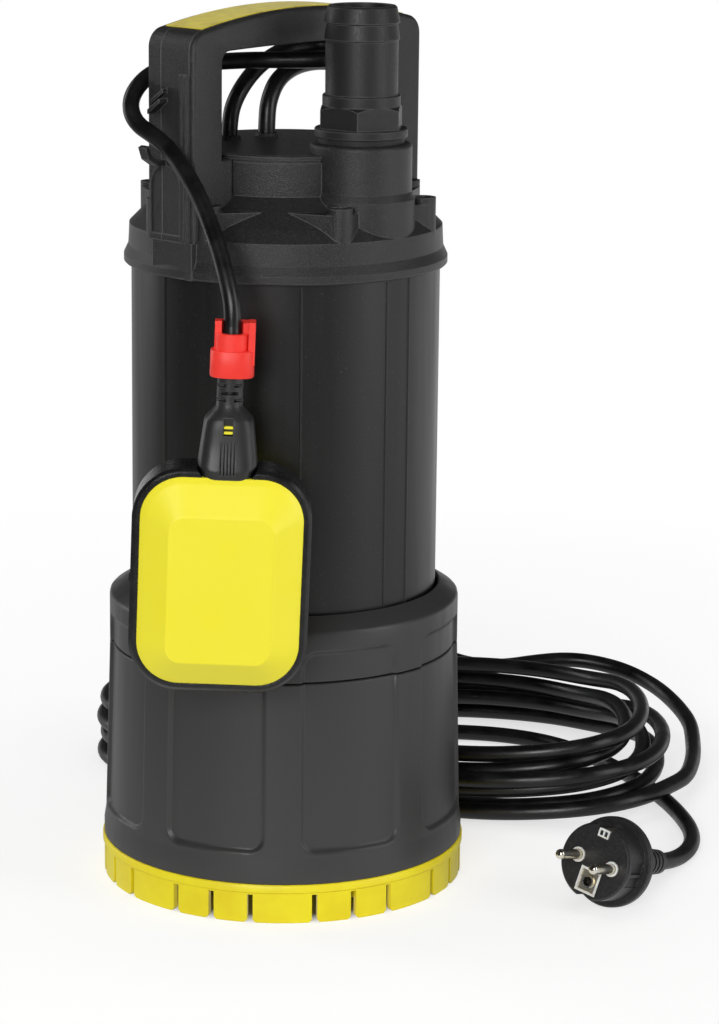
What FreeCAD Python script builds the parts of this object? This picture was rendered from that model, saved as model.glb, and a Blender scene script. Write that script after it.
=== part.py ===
"""Submersible sump pump with a float switch, an outlet hose tail and a mains lead.

Millimetres, +Z up. The origin is the centre of the strainer base, on the floor.
-Y is the front, where the float hangs. The outlet stands at the front right, and the
carrying handle runs across the head, square to the outlet.
"""
import FreeCAD, Part
import math
import os

V = FreeCAD.Vector
UP = V(0, 0, 1)
TURN = 2 * math.pi

# Driving sizes of the housing
BASE_R = 87.5
BASE_H = 18.7
STAGES = 4
STAGE_PITCH = 17.5
MOTOR_L = 172.0

# Radii, each a step in or out from another
SHROUD_STEP = 14.5
SKIRT_TAPER = 3.3
FOOT_BULGE = 0.9
COLLAR_IN = 5.2
LIP_OVER = 3.5
BAND_OVER = 0.9
SHOULDER_IN = 5.0
CONE_RUN = 16.0
JACKET_R = BASE_R - SHROUD_STEP
SKIRT_TOP_R = BASE_R - SKIRT_TAPER
COLLAR_MOUTH_R = SKIRT_TOP_R - COLLAR_IN
LIP_R = JACKET_R + LIP_OVER
BAND_R = JACKET_R + BAND_OVER
SHOULDER_R = JACKET_R - SHOULDER_IN
DECK_R = SHOULDER_R - CONE_RUN

# Heights, stacked from the floor up
STAGE_LIFT = 9.0
CASING_HEAD = 6.0
SPIGOT_H = 3.7
END_SHIELD_T = 8.3
HEAD_ROOM = 28.0
SKIRT_LAP = 14.8
COLLAR_H = 25.3
LIP_DROP = 12.0
LIP_H = 4.0
BAND_RISE = 6.5
SHOULDER_RISE = 6.0
CONE_RISE = 12.5
DECK_H = 19.0
SKIRT_FOOT_Z = BASE_H
STAGE_FOOT_Z = BASE_H + STAGE_LIFT
CASING_TOP_Z = STAGE_FOOT_Z + STAGES * STAGE_PITCH + CASING_HEAD
MOTOR_FOOT_Z = CASING_TOP_Z + END_SHIELD_T
MOTOR_TOP_Z = MOTOR_FOOT_Z + MOTOR_L
JACKET_FOOT_Z = CASING_TOP_Z - SPIGOT_H
JACKET_TOP_Z = MOTOR_TOP_Z + HEAD_ROOM
SKIRT_TOP_Z = JACKET_FOOT_Z + SKIRT_LAP
COLLAR_TOP_Z = SKIRT_TOP_Z + COLLAR_H
LIP_Z = JACKET_TOP_Z - LIP_DROP
BAND_TOP_Z = JACKET_TOP_Z + BAND_RISE
SHOULDER_Z = BAND_TOP_Z + SHOULDER_RISE
DECK_FOOT_Z = SHOULDER_Z + CONE_RISE
DECK_Z = DECK_FOOT_Z + DECK_H

# Walls
SHROUD_WALL = 2.8
SHROUD_FLOOR_T = 3.0
JACKET_WALL = 2.5
JACKET_RIM_W = 6.5
JACKET_RIM_H = 8.0
MOULD_LINE = 1.0
MOULD_LINE_DEG = (-140.0, -84.5, -50.5, -38.8, 40.0, 95.0)
SEAL_T = 1.6

# Strainer base
BASE_WALL = 3.0
BASE_WEB = 3.0
SLOT_W = 2.6
SLOT_ROOF = 5.0
SLOT_TOP_Z = BASE_H - SLOT_ROOF
SLOT_MOUTH = 1.4
SLOTS_PER_BAY = (10.0, 22.5, 35.0)
BAYS = 8
BASE_RIBS = 8
BASE_RIB_T = 2.0
BASE_RIB_H = 9.7
BASE_RIB_FOOT_Z = BASE_H - BASE_RIB_H

# Shroud panels
PANEL_DEG = 34.5
PANEL_DEPTH = 1.2
PANEL_LIFT = 14.3
PANEL_DROP = 9.1
PANEL_CORNER = 8.0
BULGE_H = 11.3
PANEL_FOOT_Z = BASE_H + PANEL_LIFT
PANEL_HEAD_Z = COLLAR_TOP_Z - PANEL_DROP
LIP_BULGE_Z = BASE_H + BULGE_H

# Screws that hold base, casing and head
SCREW_R = 1.9
SCREW_HEAD_R = 3.6
SCREW_HEAD_H = 2.6
SCREW_BITE = 12.0
BASE_SCREW_IN = 9.5
BASE_SCREWS = 4
BASE_SCREW_BITE = 10.0
BASE_BOSS_R = 5.2
CASING_FLANGE = 9.0
CASING_FLANGE_T = 4.0
CASING_SCREWS = 4
HEAD_SCREW_R = SHOULDER_R
HEAD_SCREW_DEG = (24.0, 76.0, 104.0, 156.0)
HEAD_SCREW_SINK = 5.0
HEAD_BOSS_R = 6.1
HEAD_BOSS_DROP = 3.0
HEAD_BOSS_Z = DECK_FOOT_Z - HEAD_BOSS_DROP
WING_DROP = 3.0
WING_Z = HEAD_BOSS_Z - WING_DROP
WING_DEG = 22.0
DRIVER_ROOM = 22.0

# Hydraulics
EYE_R = 17.0
SUCTION_STEP = 13.0
SUCTION_R = EYE_R + SUCTION_STEP
FLOW_SPACE = 15.0
DIFFUSER_R = JACKET_R - FLOW_SPACE
DIFFUSER_RIM = 14.0
IMPELLER_R = DIFFUSER_R - DIFFUSER_RIM
IMPELLER_EYE_R = EYE_R - 1.0
IMPELLER_LIFT = 1.5
IMPELLER_DISC_T = 1.4
IMPELLER_VANE_H = 5.4
IMPELLER_VANES = 6
IMPELLER_SWEEP = 75.0
HUB_H = 13.5
HUB_WALL = 3.0
VANE_T = 1.8
DIFFUSER_PLATE_T = 2.0
DIFFUSER_CUP_T = 2.0
DIFFUSER_VANES = 7
DIFFUSER_SWEEP = -55.0
CASING_WALL = 3.5
CASING_FIT = 0.3
RUN_GAP = 0.5
NUT_R = 8.5
NUT_H = 6.5
CASING_R = DIFFUSER_R + CASING_FIT + CASING_WALL
FLANGE_R = CASING_R + CASING_FLANGE

# Motor
SHAFT_R = 6.0
SHAFT_CHAMFER = 1.0
SLEEVE_WALL = 2.6
WATER_JACKET = 19.0
MOTOR_CAN_R = JACKET_R - WATER_JACKET
MOTOR_CAN_WALL = 1.2
STATOR_DEPTH = 25.0
STATOR_BORE_R = MOTOR_CAN_R - STATOR_DEPTH
STATOR_LIFT = 48.0
STATOR_FOOT_Z = MOTOR_FOOT_Z + STATOR_LIFT
STATOR_LENGTH = 75.0
AIR_GAP = 0.6
ROTOR_END = 9.0
WINDING_H = 18.0
WINDING_IN = 2.0
WINDING_OUT = 3.0
BEARING_R = 16.0
BEARING_H = 10.0
BEARING_INNER_R = 9.0
BEARING_OUTER_R = 12.5
BEARING_HOUSING = 4.0
LOWER_BEARING_Z = MOTOR_FOOT_Z + BEARING_HOUSING
UPPER_BEARING_DROP = 20.0
UPPER_BEARING_Z = MOTOR_TOP_Z - UPPER_BEARING_DROP
SEAL_SEAT_R = 15.0
SEAL_SEAT_H = 4.0
SEAL_FACE_R = 12.0
SEAL_H = 7.0
SEAL_GAP = 0.05
SEAL_Z = MOTOR_FOOT_Z - SEAL_H
WATER_PORTS = 12
WATER_PORT_DEG = 22.0
CAPACITOR_R = 16.0
CAPACITOR_H = 40.0
CAPACITOR_TAB_H = 7.0
CHAMBER_IN = 18.0
CHAMBER_R = DECK_R - CHAMBER_IN
CHAMBER_OFFSET = 12.7
LID_T = 3.5
LEADS_HOLE_R = 4.0
LEADS_X = -30.0
LEADS_Y = 12.0

# Outlet and hose tail
OUTLET_DEG = -45.0
OUTLET_IN = 3.6
OUTLET_REACH = DECK_R - OUTLET_IN
THREAD_R = 16.6
SOCKET_WALL = 7.1
SOCKET_R = THREAD_R + SOCKET_WALL
SOCKET_FLARE = 1.6
SOCKET_FLARE_R = SOCKET_R + SOCKET_FLARE
SOCKET_FLARE_DROP = 2.0
SOCKET_FLARE_Z = DECK_FOOT_Z - SOCKET_FLARE_DROP
SOCKET_RISE = 4.5
SOCKET_Z = DECK_Z + SOCKET_RISE
SOCKET_EDGE = 1.8
THREAD_L = 14.0
O_RING_T = 3.4
O_RING_R = THREAD_R + O_RING_T
O_RING_H = 2.6
TAIL_R = 16.7
TAIL_WALL = 3.3
TAIL_BORE_R = TAIL_R - TAIL_WALL
TAIL_RING_OVER = 1.3
TAIL_RING_R = TAIL_R + TAIL_RING_OVER
TAIL_RING_H = 5.2
TAIL_COLLAR_OVER = 3.5
TAIL_COLLAR_R = TAIL_RING_R + TAIL_COLLAR_OVER
TAIL_COLLAR_H = 4.2
HEX_ACROSS_FLATS = 2 * TAIL_RING_R
HEX_H = 10.1
HEX_TURN = 6.0
TAIL_L = 62.5
TAIL_TOP_Z = SOCKET_Z + TAIL_L
BARB_STEP = 0.7
BARB_R = TAIL_R + BARB_STEP
BARB_TIP_R = TAIL_R - BARB_STEP
BARB_PITCH = 7.6

# Carrying handle, in its own frame: U runs along it, W across it
HANDLE_DEG = 45.0
HANDLE_OVER = 2.0
HANDLE_L = 2 * (JACKET_R + HANDLE_OVER)
HANDLE_W = 32.0
LEG_DEPTH = 18.0
FOOT_SINK = 2.0
HANDLE_FOOT_Z = BAND_TOP_Z - FOOT_SINK
HANDLE_RISE = 55.0
HANDLE_SHOULDER_Z = DECK_Z + HANDLE_RISE
CROWN_RISE = 9.0
HANDLE_CROWN_Z = HANDLE_SHOULDER_Z + CROWN_RISE
HANDLE_CORNER = 9.0
WINDOW_DROP = 8.2
WINDOW_TOP_Z = HANDLE_SHOULDER_Z - WINDOW_DROP
WINDOW_ARCH = 1.0
WINDOW_CORNER = 5.0
FRONT_SHELL_T = 3.2
REAR_SHELL_T = 10.3
HANDLE_EDGE = 2.2
INSERT_EDGE = 4.0
INSERT_W = HANDLE_W - 2 * INSERT_EDGE
INSERT_T = 2.4
INSERT_PROUD = 0.4
INSERT_END = 9.0
INSERT_L = HANDLE_L - 2 * INSERT_END
BEAD_R = 1.1
OVAL_W = 19.8
OVAL_DROP = 5.0
OVAL_TOP_Z = DECK_Z - OVAL_DROP
OVAL_DEPTH = 0.6
OVAL_BACK = 3.4
PAD_FRONT = 15.0
PAD_BACK = 11.0
PAD_PROUD = 0.7
PAD_DROP = 1.5
HANDLE_SCREW_RISE = (6.0, 44.0)
HANDLE_SCREW_SINK = 3.0

# Guide for the float cord on the handle's left end, heights over the deck
GUIDE_FRONT = 1.5
GUIDE_BACK = 9.5
GUIDE_RISE = 24.0
GUIDE_CLIMB = 5.7
GUIDE_T = 2.0
GUIDE_PITCH = 4.4
GUIDE_OUT = 5.5
HOOK_FRONT = 2.5
HOOK_W = 5.0
HOOK_DROP = 5.0
HOOK_T = 2.6

# Float switch, in its own frame: centre of the float body
FLOAT_W = 80.5
FLOAT_H = 102.5
FLOAT_FRAME_T = 24.0
FLOAT_CORNER = 23.0
FLOAT_RIM = 3.7
FLOAT_RIM_EDGE = 1.6
FLOAT_WALL = 2.2
FLOAT_DOME = 8.5
FLOAT_SHOULDER = 1.8
FLOAT_SHOULDER_IN = 5.0
FLOAT_SLOPE_W = 33.5
FLOAT_SLOPE_H = 35.5
FLOAT_PLATEAU_W = FLOAT_W - FLOAT_SLOPE_W
FLOAT_PLATEAU_H = FLOAT_H - FLOAT_SLOPE_H
FLOAT_PLATEAU_CORNER = 7.0
FLOAT_PLATEAU_SHIFT = -2.5
FLOAT_X = -28.8
FLOAT_STAND_OFF = 34.0
FLOAT_DROP = 183.0
FLOAT_CENTRE = V(FLOAT_X, -JACKET_R - FLOAT_STAND_OFF, DECK_Z - FLOAT_DROP)
FLOAT_LEAN = 1.9
NECK_W = 27.0
NECK_TOP_W = 22.0
NECK_T = 19.0
NECK_H = 17.6
NECK_TAPER_H = 8.15
NECK_SHIFT = 1.5
SLEEVE_H = 14.7
NECK_SHOULDER = FLOAT_H / 2 + NECK_H
NECK_TOP = NECK_SHOULDER + NECK_TAPER_H
SLEEVE_R = 5.9
SLEEVE_TOP = NECK_TOP + SLEEVE_H
SLEEVE_CORE_R = 4.6
SLEEVE_SLOT = 1.4
SLEEVE_SLOT_PITCH = 3.0
SLEEVE_SLOT_DROP = 5.9
NECK_GROOVE = 0.7
NECK_GROOVE_PITCH = 1.8
CATCH_W = 4.4
CATCH_H = 5.2
CATCH_DROP = 2.2
CATCH_DEPTH = 1.8
CATCH_RIB_H = 1.2
CATCH_RIBS = (0.4, 2.8)
CLIP_W = 19.8
CLIP_T = 15.4
CLIP_OFFSET = 0.7
CLIP_HORN_OFFSET = 1.7
CLIP_HORN_W = 18.6
CLIP_TAB_W = 3.0
CLIP_TAB_H = 7.2
CLIP_GAP = 0.3
CLIP_BAND_H = 11.0
CLIP_HORN_H = 8.0
CLIP_NOTCH_H = 7.0
CLIP_FOOT = SLEEVE_TOP + CLIP_GAP
CLIP_STEP = CLIP_FOOT + CLIP_BAND_H
CLIP_NOTCH = CLIP_STEP + CLIP_HORN_H
CLIP_HEAD = CLIP_NOTCH + CLIP_NOTCH_H
TILT_RISE = 3.3
PIVOT_UP = CLIP_NOTCH + TILT_RISE
FLOAT_SWAY = PIVOT_UP * math.sin(math.radians(FLOAT_LEAN))

# Float switch mechanism
BALL_R = 6.0
BALL_REST = -18.0
RACE_R = 6.5
RACE_WALL = 1.5
RACE_FLOOR = 2.0
RACE_WINDOW_W = 6.0
RACE_WINDOW_IN = 4.0
LEVER_PIVOT_X = 14.0
LEVER_PIN_R = 0.7
LEVER_PIN_L = 7.6
LEVER_HUB_R = 1.5
LEVER_UNDER = 1.5
LEVER_T = 1.0
LEVER_W = 4.0
LEVER_REACH = 17.0
SWITCH_W = 9.0
SWITCH_T = 12.0
SWITCH_FOOT_Z = -12.0
SWITCH_H = 28.0
SWITCH_STAND_OFF = 2.4
EAR_T = 1.2
EAR_H = 3.2

# Cords
MAINS_D = 8.3
FLOAT_CORD_D = 7.8
CORD_SIDES = 8
COIL_SIDES = 6
JOINT_GAP = 0.3
GLAND_R = 5.6
GLAND_H = 1.6
GLAND_DEPTH = 14.0
CORD_STUB = 4.0
PIVOT_OUT = 5.9
PIVOT_BACK = 1.8
PIVOT_RISE = 8.2

# Coil of the mains lead: an egg-shaped pile of turns behind the pump, right end wider
COIL_X = 55.0
COIL_BEHIND = 75.8
COIL_Y = BASE_R + COIL_BEHIND
COIL_A = 160.0
COIL_B = 97.0
COIL_EGG = 14.6
COIL_WAIST = 8.0
COIL_SLOPE = -18.5
COIL_BOW = -4.7
COIL_START_DEG = -20.0
COIL_PITCH = 9.4
COIL_RISE = 8.9
COIL_SPREAD = 1.6
COIL_FAN = 6.5
COIL_LAYER_QUARTERS = 6
COIL_QUARTERS = 22
COIL_ARCS_PER_QUARTER = 2
LIFT_FROM_DEG = -38.0
LIFT_TO_DEG = 8.0
LIFT_RAMP_DEG = 32.0

# Plug, in its own frame: face at zero, cord leaving along +Z, pins in a line along X
PLUG_FACE_R = 18.6
PLUG_RIM_OVER = 3.1
PLUG_RIM_R = PLUG_FACE_R + PLUG_RIM_OVER
PLUG_RIM_Z = 15.0
PLUG_RIM_T = 4.0
PLUG_BACK_H = 19.0
PLUG_NECK_Z = PLUG_RIM_Z + PLUG_RIM_T + PLUG_BACK_H
PLUG_NECK_R = 9.0
RELIEF_R = 7.4
RELIEF_END_R = 6.0
RELIEF_L = 24.0
RELIEF_END_Z = PLUG_NECK_Z + RELIEF_L
RELIEF_RIBS = 5
PIN_R = 2.4
PIN_L = 19.0
PIN_TIP = 1.8
PIN_ROOT = 8.0
PIN_SPACING = 19.0
PIN_COLLAR = 1.5
INSERT_DEPTH = 2.0
EARTH_UP = 10.0
EARTH_R = 2.7
EARTH_SLEEVE = 0.6
EARTH_DEPTH = 9.0
EARTH_FRAME_W = 10.4
EARTH_FRAME_H = 11.2
CONTACT_W = 8.0
CONTACT_IN = 2.6
CONTACT_T = 0.8
KEY_W = 5.2
KEY_DEPTH = 1.4
KEY_PLACES = (-3.4, 3.4)
PLUG_X = 157.0
PLUG_Y = -58.5
PLUG_HEADING = 54.3
PLUG_DIP = 15.7
PLUG_ROLL = 10.8

OUTLET_X = OUTLET_REACH * math.cos(math.radians(OUTLET_DEG))
OUTLET_Y = OUTLET_REACH * math.sin(math.radians(OUTLET_DEG))
FRONT_DEG = -90.0


def polar(r, deg, z=0.0):
    a = math.radians(deg)
    return V(r * math.cos(a), r * math.sin(a), z)


def turned(profile):
    """Solid of revolution about Z from closed (radius, height) points."""
    pts = [V(r, 0, z) for r, z in profile]
    face = Part.Face(Part.makePolygon(pts + [pts[0]]))
    return face.revolve(V(0, 0, 0), UP, 360)


def disc(r, z0, z1, x=0.0, y=0.0):
    return Part.makeCylinder(r, z1 - z0, V(x, y, z0), UP)


def ring(r_out, r_in, z0, z1, x=0.0, y=0.0):
    return disc(r_out, z0, z1, x, y).cut(disc(r_in, z0 - 1, z1 + 1, x, y))


def block(x0, x1, y0, y1, z0, z1):
    return Part.makeBox(x1 - x0, y1 - y0, z1 - z0, V(x0, y0, z0))


def spun(shape, deg, centre=V(0, 0, 0)):
    copy = shape.copy()
    copy.rotate(centre, UP, deg)
    return copy


def shifted(shape, offset):
    copy = shape.copy()
    copy.translate(offset)
    return copy


def around(shape, degs):
    return [spun(shape, d) for d in degs]


def joined(shapes):
    first = shapes[0]
    if len(shapes) == 1:
        return first
    return first.fuse(list(shapes[1:])).removeSplitter()


def prism(points, direction):
    return Part.Face(Part.makePolygon(points + [points[0]])).extrude(direction)


def wedge(deg, width, z0, z1):
    """Sector about the axis, so many degrees wide about a bearing."""
    reach = 2 * BASE_R
    return prism([V(0, 0, z0), polar(reach, deg - width / 2, z0), polar(reach, deg + width / 2, z0)],
                 V(0, 0, z1 - z0))


def screw(x, y, z_head, z_tip, down=True):
    """Pan-head screw whose head rests at z_head."""
    sign = 1 if down else -1
    head = Part.makeCylinder(SCREW_HEAD_R, SCREW_HEAD_H, V(x, y, z_head), UP * sign)
    shank = Part.makeCylinder(SCREW_R, abs(z_head - z_tip), V(x, y, z_head), UP * -sign)
    return head.fuse(shank).removeSplitter()


# Base, shroud and their screws
def skirt_r(z):
    """Outer radius of the shroud at a height: a bulged foot, then a slight taper."""
    share = (z - LIP_BULGE_Z) / (SKIRT_TOP_Z - LIP_BULGE_Z)
    return BASE_R - FOOT_BULGE + (SKIRT_TOP_R - BASE_R + FOOT_BULGE) * share


def base_screw_places():
    first = 180.0 / BAYS
    return [polar(BASE_R - BASE_SCREW_IN, first + k * 360.0 / BASE_SCREWS) for k in range(BASE_SCREWS)]


def strainer_base():
    wall = ring(BASE_R, BASE_R - BASE_WALL, 0, BASE_H)
    web = ring(BASE_R - BASE_WALL, SUCTION_R, BASE_H - BASE_WEB, BASE_H)
    collar = ring(SUCTION_R + BASE_RIB_T, SUCTION_R, BASE_RIB_FOOT_Z, BASE_H)
    rib = block(SUCTION_R + BASE_RIB_T / 4, BASE_R - BASE_WALL / 2, -BASE_RIB_T / 2, BASE_RIB_T / 2,
                BASE_RIB_FOOT_Z, BASE_H)
    ribs = around(rib, [FRONT_DEG + k * 360.0 / BASE_RIBS for k in range(BASE_RIBS)])
    bosses = [disc(BASE_BOSS_R, BASE_RIB_FOOT_Z, BASE_H, p.x, p.y) for p in base_screw_places()]
    body = joined([wall, web, collar] + ribs + bosses)
    half = SLOT_W / 2
    mouth = half + SLOT_MOUTH
    sides = [(mouth, -1), (mouth, 0), (half, SLOT_MOUTH), (half, SLOT_TOP_Z)]
    outline = sides + [(-y, z) for y, z in reversed(sides)]
    slot = prism([V(BASE_R - 2 * BASE_WALL, y, z) for y, z in outline], V(3 * BASE_WALL, 0, 0))
    cuts = [spun(slot, FRONT_DEG + bay * 360.0 / BAYS + place)
            for bay in range(BAYS) for place in SLOTS_PER_BAY]
    for p in base_screw_places():
        cuts.append(disc(SCREW_R + 0.2, 0, BASE_H + 1, p.x, p.y))
        cuts.append(disc(SCREW_HEAD_R + 0.2, 0, BASE_RIB_FOOT_Z + SCREW_HEAD_H, p.x, p.y))
    return body.cut(cuts)


def base_screws():
    seat = BASE_RIB_FOOT_Z + SCREW_HEAD_H
    return Part.makeCompound([screw(p.x, p.y, seat, SKIRT_FOOT_Z + BASE_SCREW_BITE, down=False)
                              for p in base_screw_places()])


def panel_cutters(z0, z1, round_foot, round_head):
    """Eight shallow recesses between the ribs, with rounded corners at one end."""
    outside = BASE_R + PANEL_CORNER
    inner = [V(skirt_r(z0) - PANEL_DEPTH, 0, z0), V(outside, 0, z0),
             V(outside, 0, z1), V(skirt_r(z1) - PANEL_DEPTH, 0, z1)]
    face = Part.Face(Part.makePolygon(inner + [inner[0]]))
    one = face.revolve(V(0, 0, 0), UP, PANEL_DEG)
    levels = [z for z, use in ((z0, round_foot), (z1, round_head)) if use]
    edges = []
    for edge in one.Edges:
        level = edge.BoundBox.ZLength < 1e-6 and isinstance(edge.Curve, Part.Line)
        if level and any(abs(edge.BoundBox.ZMin - z) < 1e-6 for z in levels):
            edges.append(edge)
    one = one.makeFillet(PANEL_CORNER, edges)
    pitch = 360.0 / BAYS
    first = FRONT_DEG + (pitch - PANEL_DEG) / 2
    return around(one, [first + k * pitch for k in range(BAYS)])


def lower_shroud():
    foot_r = BASE_R
    floor_z = SKIRT_FOOT_Z + SHROUD_FLOOR_T
    shell = turned([(foot_r - SHROUD_WALL, SKIRT_FOOT_Z), (foot_r, SKIRT_FOOT_Z),
                    (foot_r, LIP_BULGE_Z - 5), (skirt_r(LIP_BULGE_Z), LIP_BULGE_Z + 1),
                    (skirt_r(SKIRT_TOP_Z - 0.4), SKIRT_TOP_Z - 0.4),
                    (skirt_r(SKIRT_TOP_Z) - 0.4, SKIRT_TOP_Z),
                    (skirt_r(SKIRT_TOP_Z) - SHROUD_WALL - PANEL_DEPTH, SKIRT_TOP_Z),
                    (foot_r - SHROUD_WALL - PANEL_DEPTH, floor_z)])
    floor = ring(foot_r - SHROUD_WALL / 2, CASING_R - SCREW_BITE, SKIRT_FOOT_Z, floor_z)
    bosses = [disc(BASE_BOSS_R, SKIRT_FOOT_Z, SKIRT_FOOT_Z + SCREW_BITE + 2, p.x, p.y)
              for p in base_screw_places()]
    body = joined([shell, floor] + bosses)
    cuts = panel_cutters(PANEL_FOOT_Z, SKIRT_TOP_Z + PANEL_CORNER, True, False)
    cuts += [disc(SCREW_R, SKIRT_FOOT_Z - 1, SKIRT_FOOT_Z + SCREW_BITE, p.x, p.y)
             for p in base_screw_places()]
    return body.cut(cuts + casing_screw_holes())


def shroud_collar():
    """Upper ring of the shroud, which grips the jacket low down and stands off it above."""
    r0 = skirt_r(SKIRT_TOP_Z)
    top = COLLAR_TOP_Z
    seat_foot, seat_top = SKIRT_TOP_Z + 2.5, SKIRT_TOP_Z + 9.0
    body = turned([(r0 - 0.4, SKIRT_TOP_Z), (r0, SKIRT_TOP_Z + 0.4),
                   (r0, top - 5.5), (r0 - 1.2, top - 1.5), (COLLAR_MOUTH_R + 1.5, top),
                   (COLLAR_MOUTH_R, top - 1.0), (COLLAR_MOUTH_R, seat_top),
                   (JACKET_R, seat_top), (JACKET_R, seat_foot),
                   (r0 - SHROUD_WALL - PANEL_DEPTH, seat_foot),
                   (r0 - SHROUD_WALL - PANEL_DEPTH, SKIRT_TOP_Z)])
    return body.cut(panel_cutters(SKIRT_TOP_Z - PANEL_CORNER, PANEL_HEAD_Z, False, True))


# Pump stages
def casing_screw_places():
    r = CASING_R + CASING_FLANGE / 2
    return [polar(r, k * 360.0 / CASING_SCREWS) for k in range(CASING_SCREWS)]


def casing_screw_holes():
    return [disc(SCREW_R, casing_screw_tip(), STAGE_FOOT_Z + CASING_FLANGE, p.x, p.y)
            for p in casing_screw_places()]


def casing_screw_tip():
    return BASE_H + 0.5


def suction_cover():
    z0 = SKIRT_FOOT_Z + SHROUD_FLOOR_T
    plate = ring(FLANGE_R, EYE_R, z0, STAGE_FOOT_Z)
    lip = ring(EYE_R + HUB_WALL, EYE_R, z0 - 5, z0)
    return joined([plate, lip]).cut(casing_screw_holes())


def stage_casing():
    inner = CASING_R - CASING_WALL
    spigot = JACKET_R - JACKET_WALL
    flange_top = STAGE_FOOT_Z + CASING_FLANGE_T
    body = turned([(inner, STAGE_FOOT_Z), (FLANGE_R, STAGE_FOOT_Z), (FLANGE_R, flange_top),
                   (CASING_R, flange_top), (CASING_R, JACKET_FOOT_Z - 10),
                   (JACKET_R, JACKET_FOOT_Z - 4), (JACKET_R, JACKET_FOOT_Z), (spigot, JACKET_FOOT_Z),
                   (spigot, CASING_TOP_Z), (inner, CASING_TOP_Z)])
    return body.cut(casing_screw_holes())


def casing_screws():
    return Part.makeCompound([screw(p.x, p.y, STAGE_FOOT_Z + CASING_FLANGE_T, casing_screw_tip())
                              for p in casing_screw_places()])


def vane(r_in, r_out, sweep_deg, z, height):
    """Backward-curved blade from arcs through three polar points."""
    mid = (r_in + r_out) / 2

    def arc(extra):
        a = polar(r_in, math.degrees(extra / r_in), z)
        b = polar(mid, sweep_deg * 0.42 + math.degrees(extra / mid), z)
        c = polar(r_out, sweep_deg + math.degrees(extra / r_out), z)
        return Part.Arc(a, b, c).toShape(), a, c

    one, a1, c1 = arc(0.0)
    two, a2, c2 = arc(VANE_T)
    wire = Part.Wire(Part.__sortEdges__([one, Part.makeLine(c1, c2), two, Part.makeLine(a2, a1)]))
    return Part.Face(wire).extrude(V(0, 0, height))


def stage_foot(k):
    return STAGE_FOOT_Z + k * STAGE_PITCH


def impeller_foot(k):
    return stage_foot(k) + IMPELLER_LIFT


def impeller(z):
    t = IMPELLER_DISC_T
    low = ring(IMPELLER_R, IMPELLER_EYE_R, z, z + t)
    high = disc(IMPELLER_R, z + t + IMPELLER_VANE_H, z + 2 * t + IMPELLER_VANE_H)
    hub = disc(SHAFT_R + HUB_WALL, z + t, z + HUB_H)
    blade = vane(IMPELLER_EYE_R - 1, IMPELLER_R - 0.5, IMPELLER_SWEEP, z + t / 2, IMPELLER_VANE_H + t)
    blades = around(blade, [k * 360.0 / IMPELLER_VANES for k in range(IMPELLER_VANES)])
    return joined([low, high, hub] + blades).cut(disc(SHAFT_R, z - 1, z + STAGE_PITCH))


def impellers():
    return Part.makeCompound([impeller(impeller_foot(k)) for k in range(STAGES)])


def diffuser(z):
    """Cup that catches one impeller's flow and leads it back to the next eye."""
    body_h = IMPELLER_LIFT + IMPELLER_VANE_H + 2 * IMPELLER_DISC_T + 1.0
    roof = z + STAGE_PITCH - 1.2
    cup = turned([(DIFFUSER_R - DIFFUSER_CUP_T, z), (DIFFUSER_R, z), (DIFFUSER_R, z + STAGE_PITCH),
                  (EYE_R, z + STAGE_PITCH), (EYE_R, roof), (DIFFUSER_R - DIFFUSER_CUP_T, roof)])
    plate = ring(DIFFUSER_R - 8, SHAFT_R + HUB_WALL + RUN_GAP, z + body_h, z + body_h + DIFFUSER_PLATE_T)
    blade = vane(EYE_R + 4, DIFFUSER_R - 1.2, DIFFUSER_SWEEP, z + body_h + DIFFUSER_PLATE_T / 2,
                 STAGE_PITCH - body_h - DIFFUSER_PLATE_T / 2 - 0.6)
    blades = around(blade, [k * 360.0 / DIFFUSER_VANES for k in range(DIFFUSER_VANES)])
    return joined([cup, plate] + blades)


def diffusers():
    return Part.makeCompound([diffuser(stage_foot(k)) for k in range(STAGES)])


def impeller_nut():
    z = impeller_foot(0)
    hexagon = [polar(NUT_R, 60 * k, z - NUT_H) for k in range(6)]
    nut = prism(hexagon, V(0, 0, NUT_H + IMPELLER_DISC_T))
    return nut.cut(disc(SHAFT_R, z - 10, z + 10))


def seal_seat():
    """Stationary half of the shaft seal, pressed into the motor's lower end shield."""
    return ring(SEAL_SEAT_R, SHAFT_R + 1.0, SEAL_Z, SEAL_Z + SEAL_SEAT_H)


def rotating_seal():
    return ring(SEAL_FACE_R, SHAFT_R, SEAL_Z - SEAL_H, SEAL_Z - SEAL_GAP)


def shaft_sleeves():
    """Spacers that hold impellers, seal, rotor and bearings apart on the shaft."""
    def sleeve(z0, z1):
        return ring(SHAFT_R + SLEEVE_WALL, SHAFT_R, z0, z1)

    tops = [impeller_foot(k) + HUB_H for k in range(STAGES)]
    feet = [impeller_foot(k) + IMPELLER_DISC_T for k in range(1, STAGES)] + [SEAL_Z - SEAL_H]
    sleeves = [sleeve(a, b) for a, b in zip(tops, feet)]
    sleeves.append(sleeve(LOWER_BEARING_Z + BEARING_H, STATOR_FOOT_Z - ROTOR_END))
    sleeves.append(sleeve(STATOR_FOOT_Z + STATOR_LENGTH + ROTOR_END, UPPER_BEARING_Z))
    return Part.makeCompound(sleeves)


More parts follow.
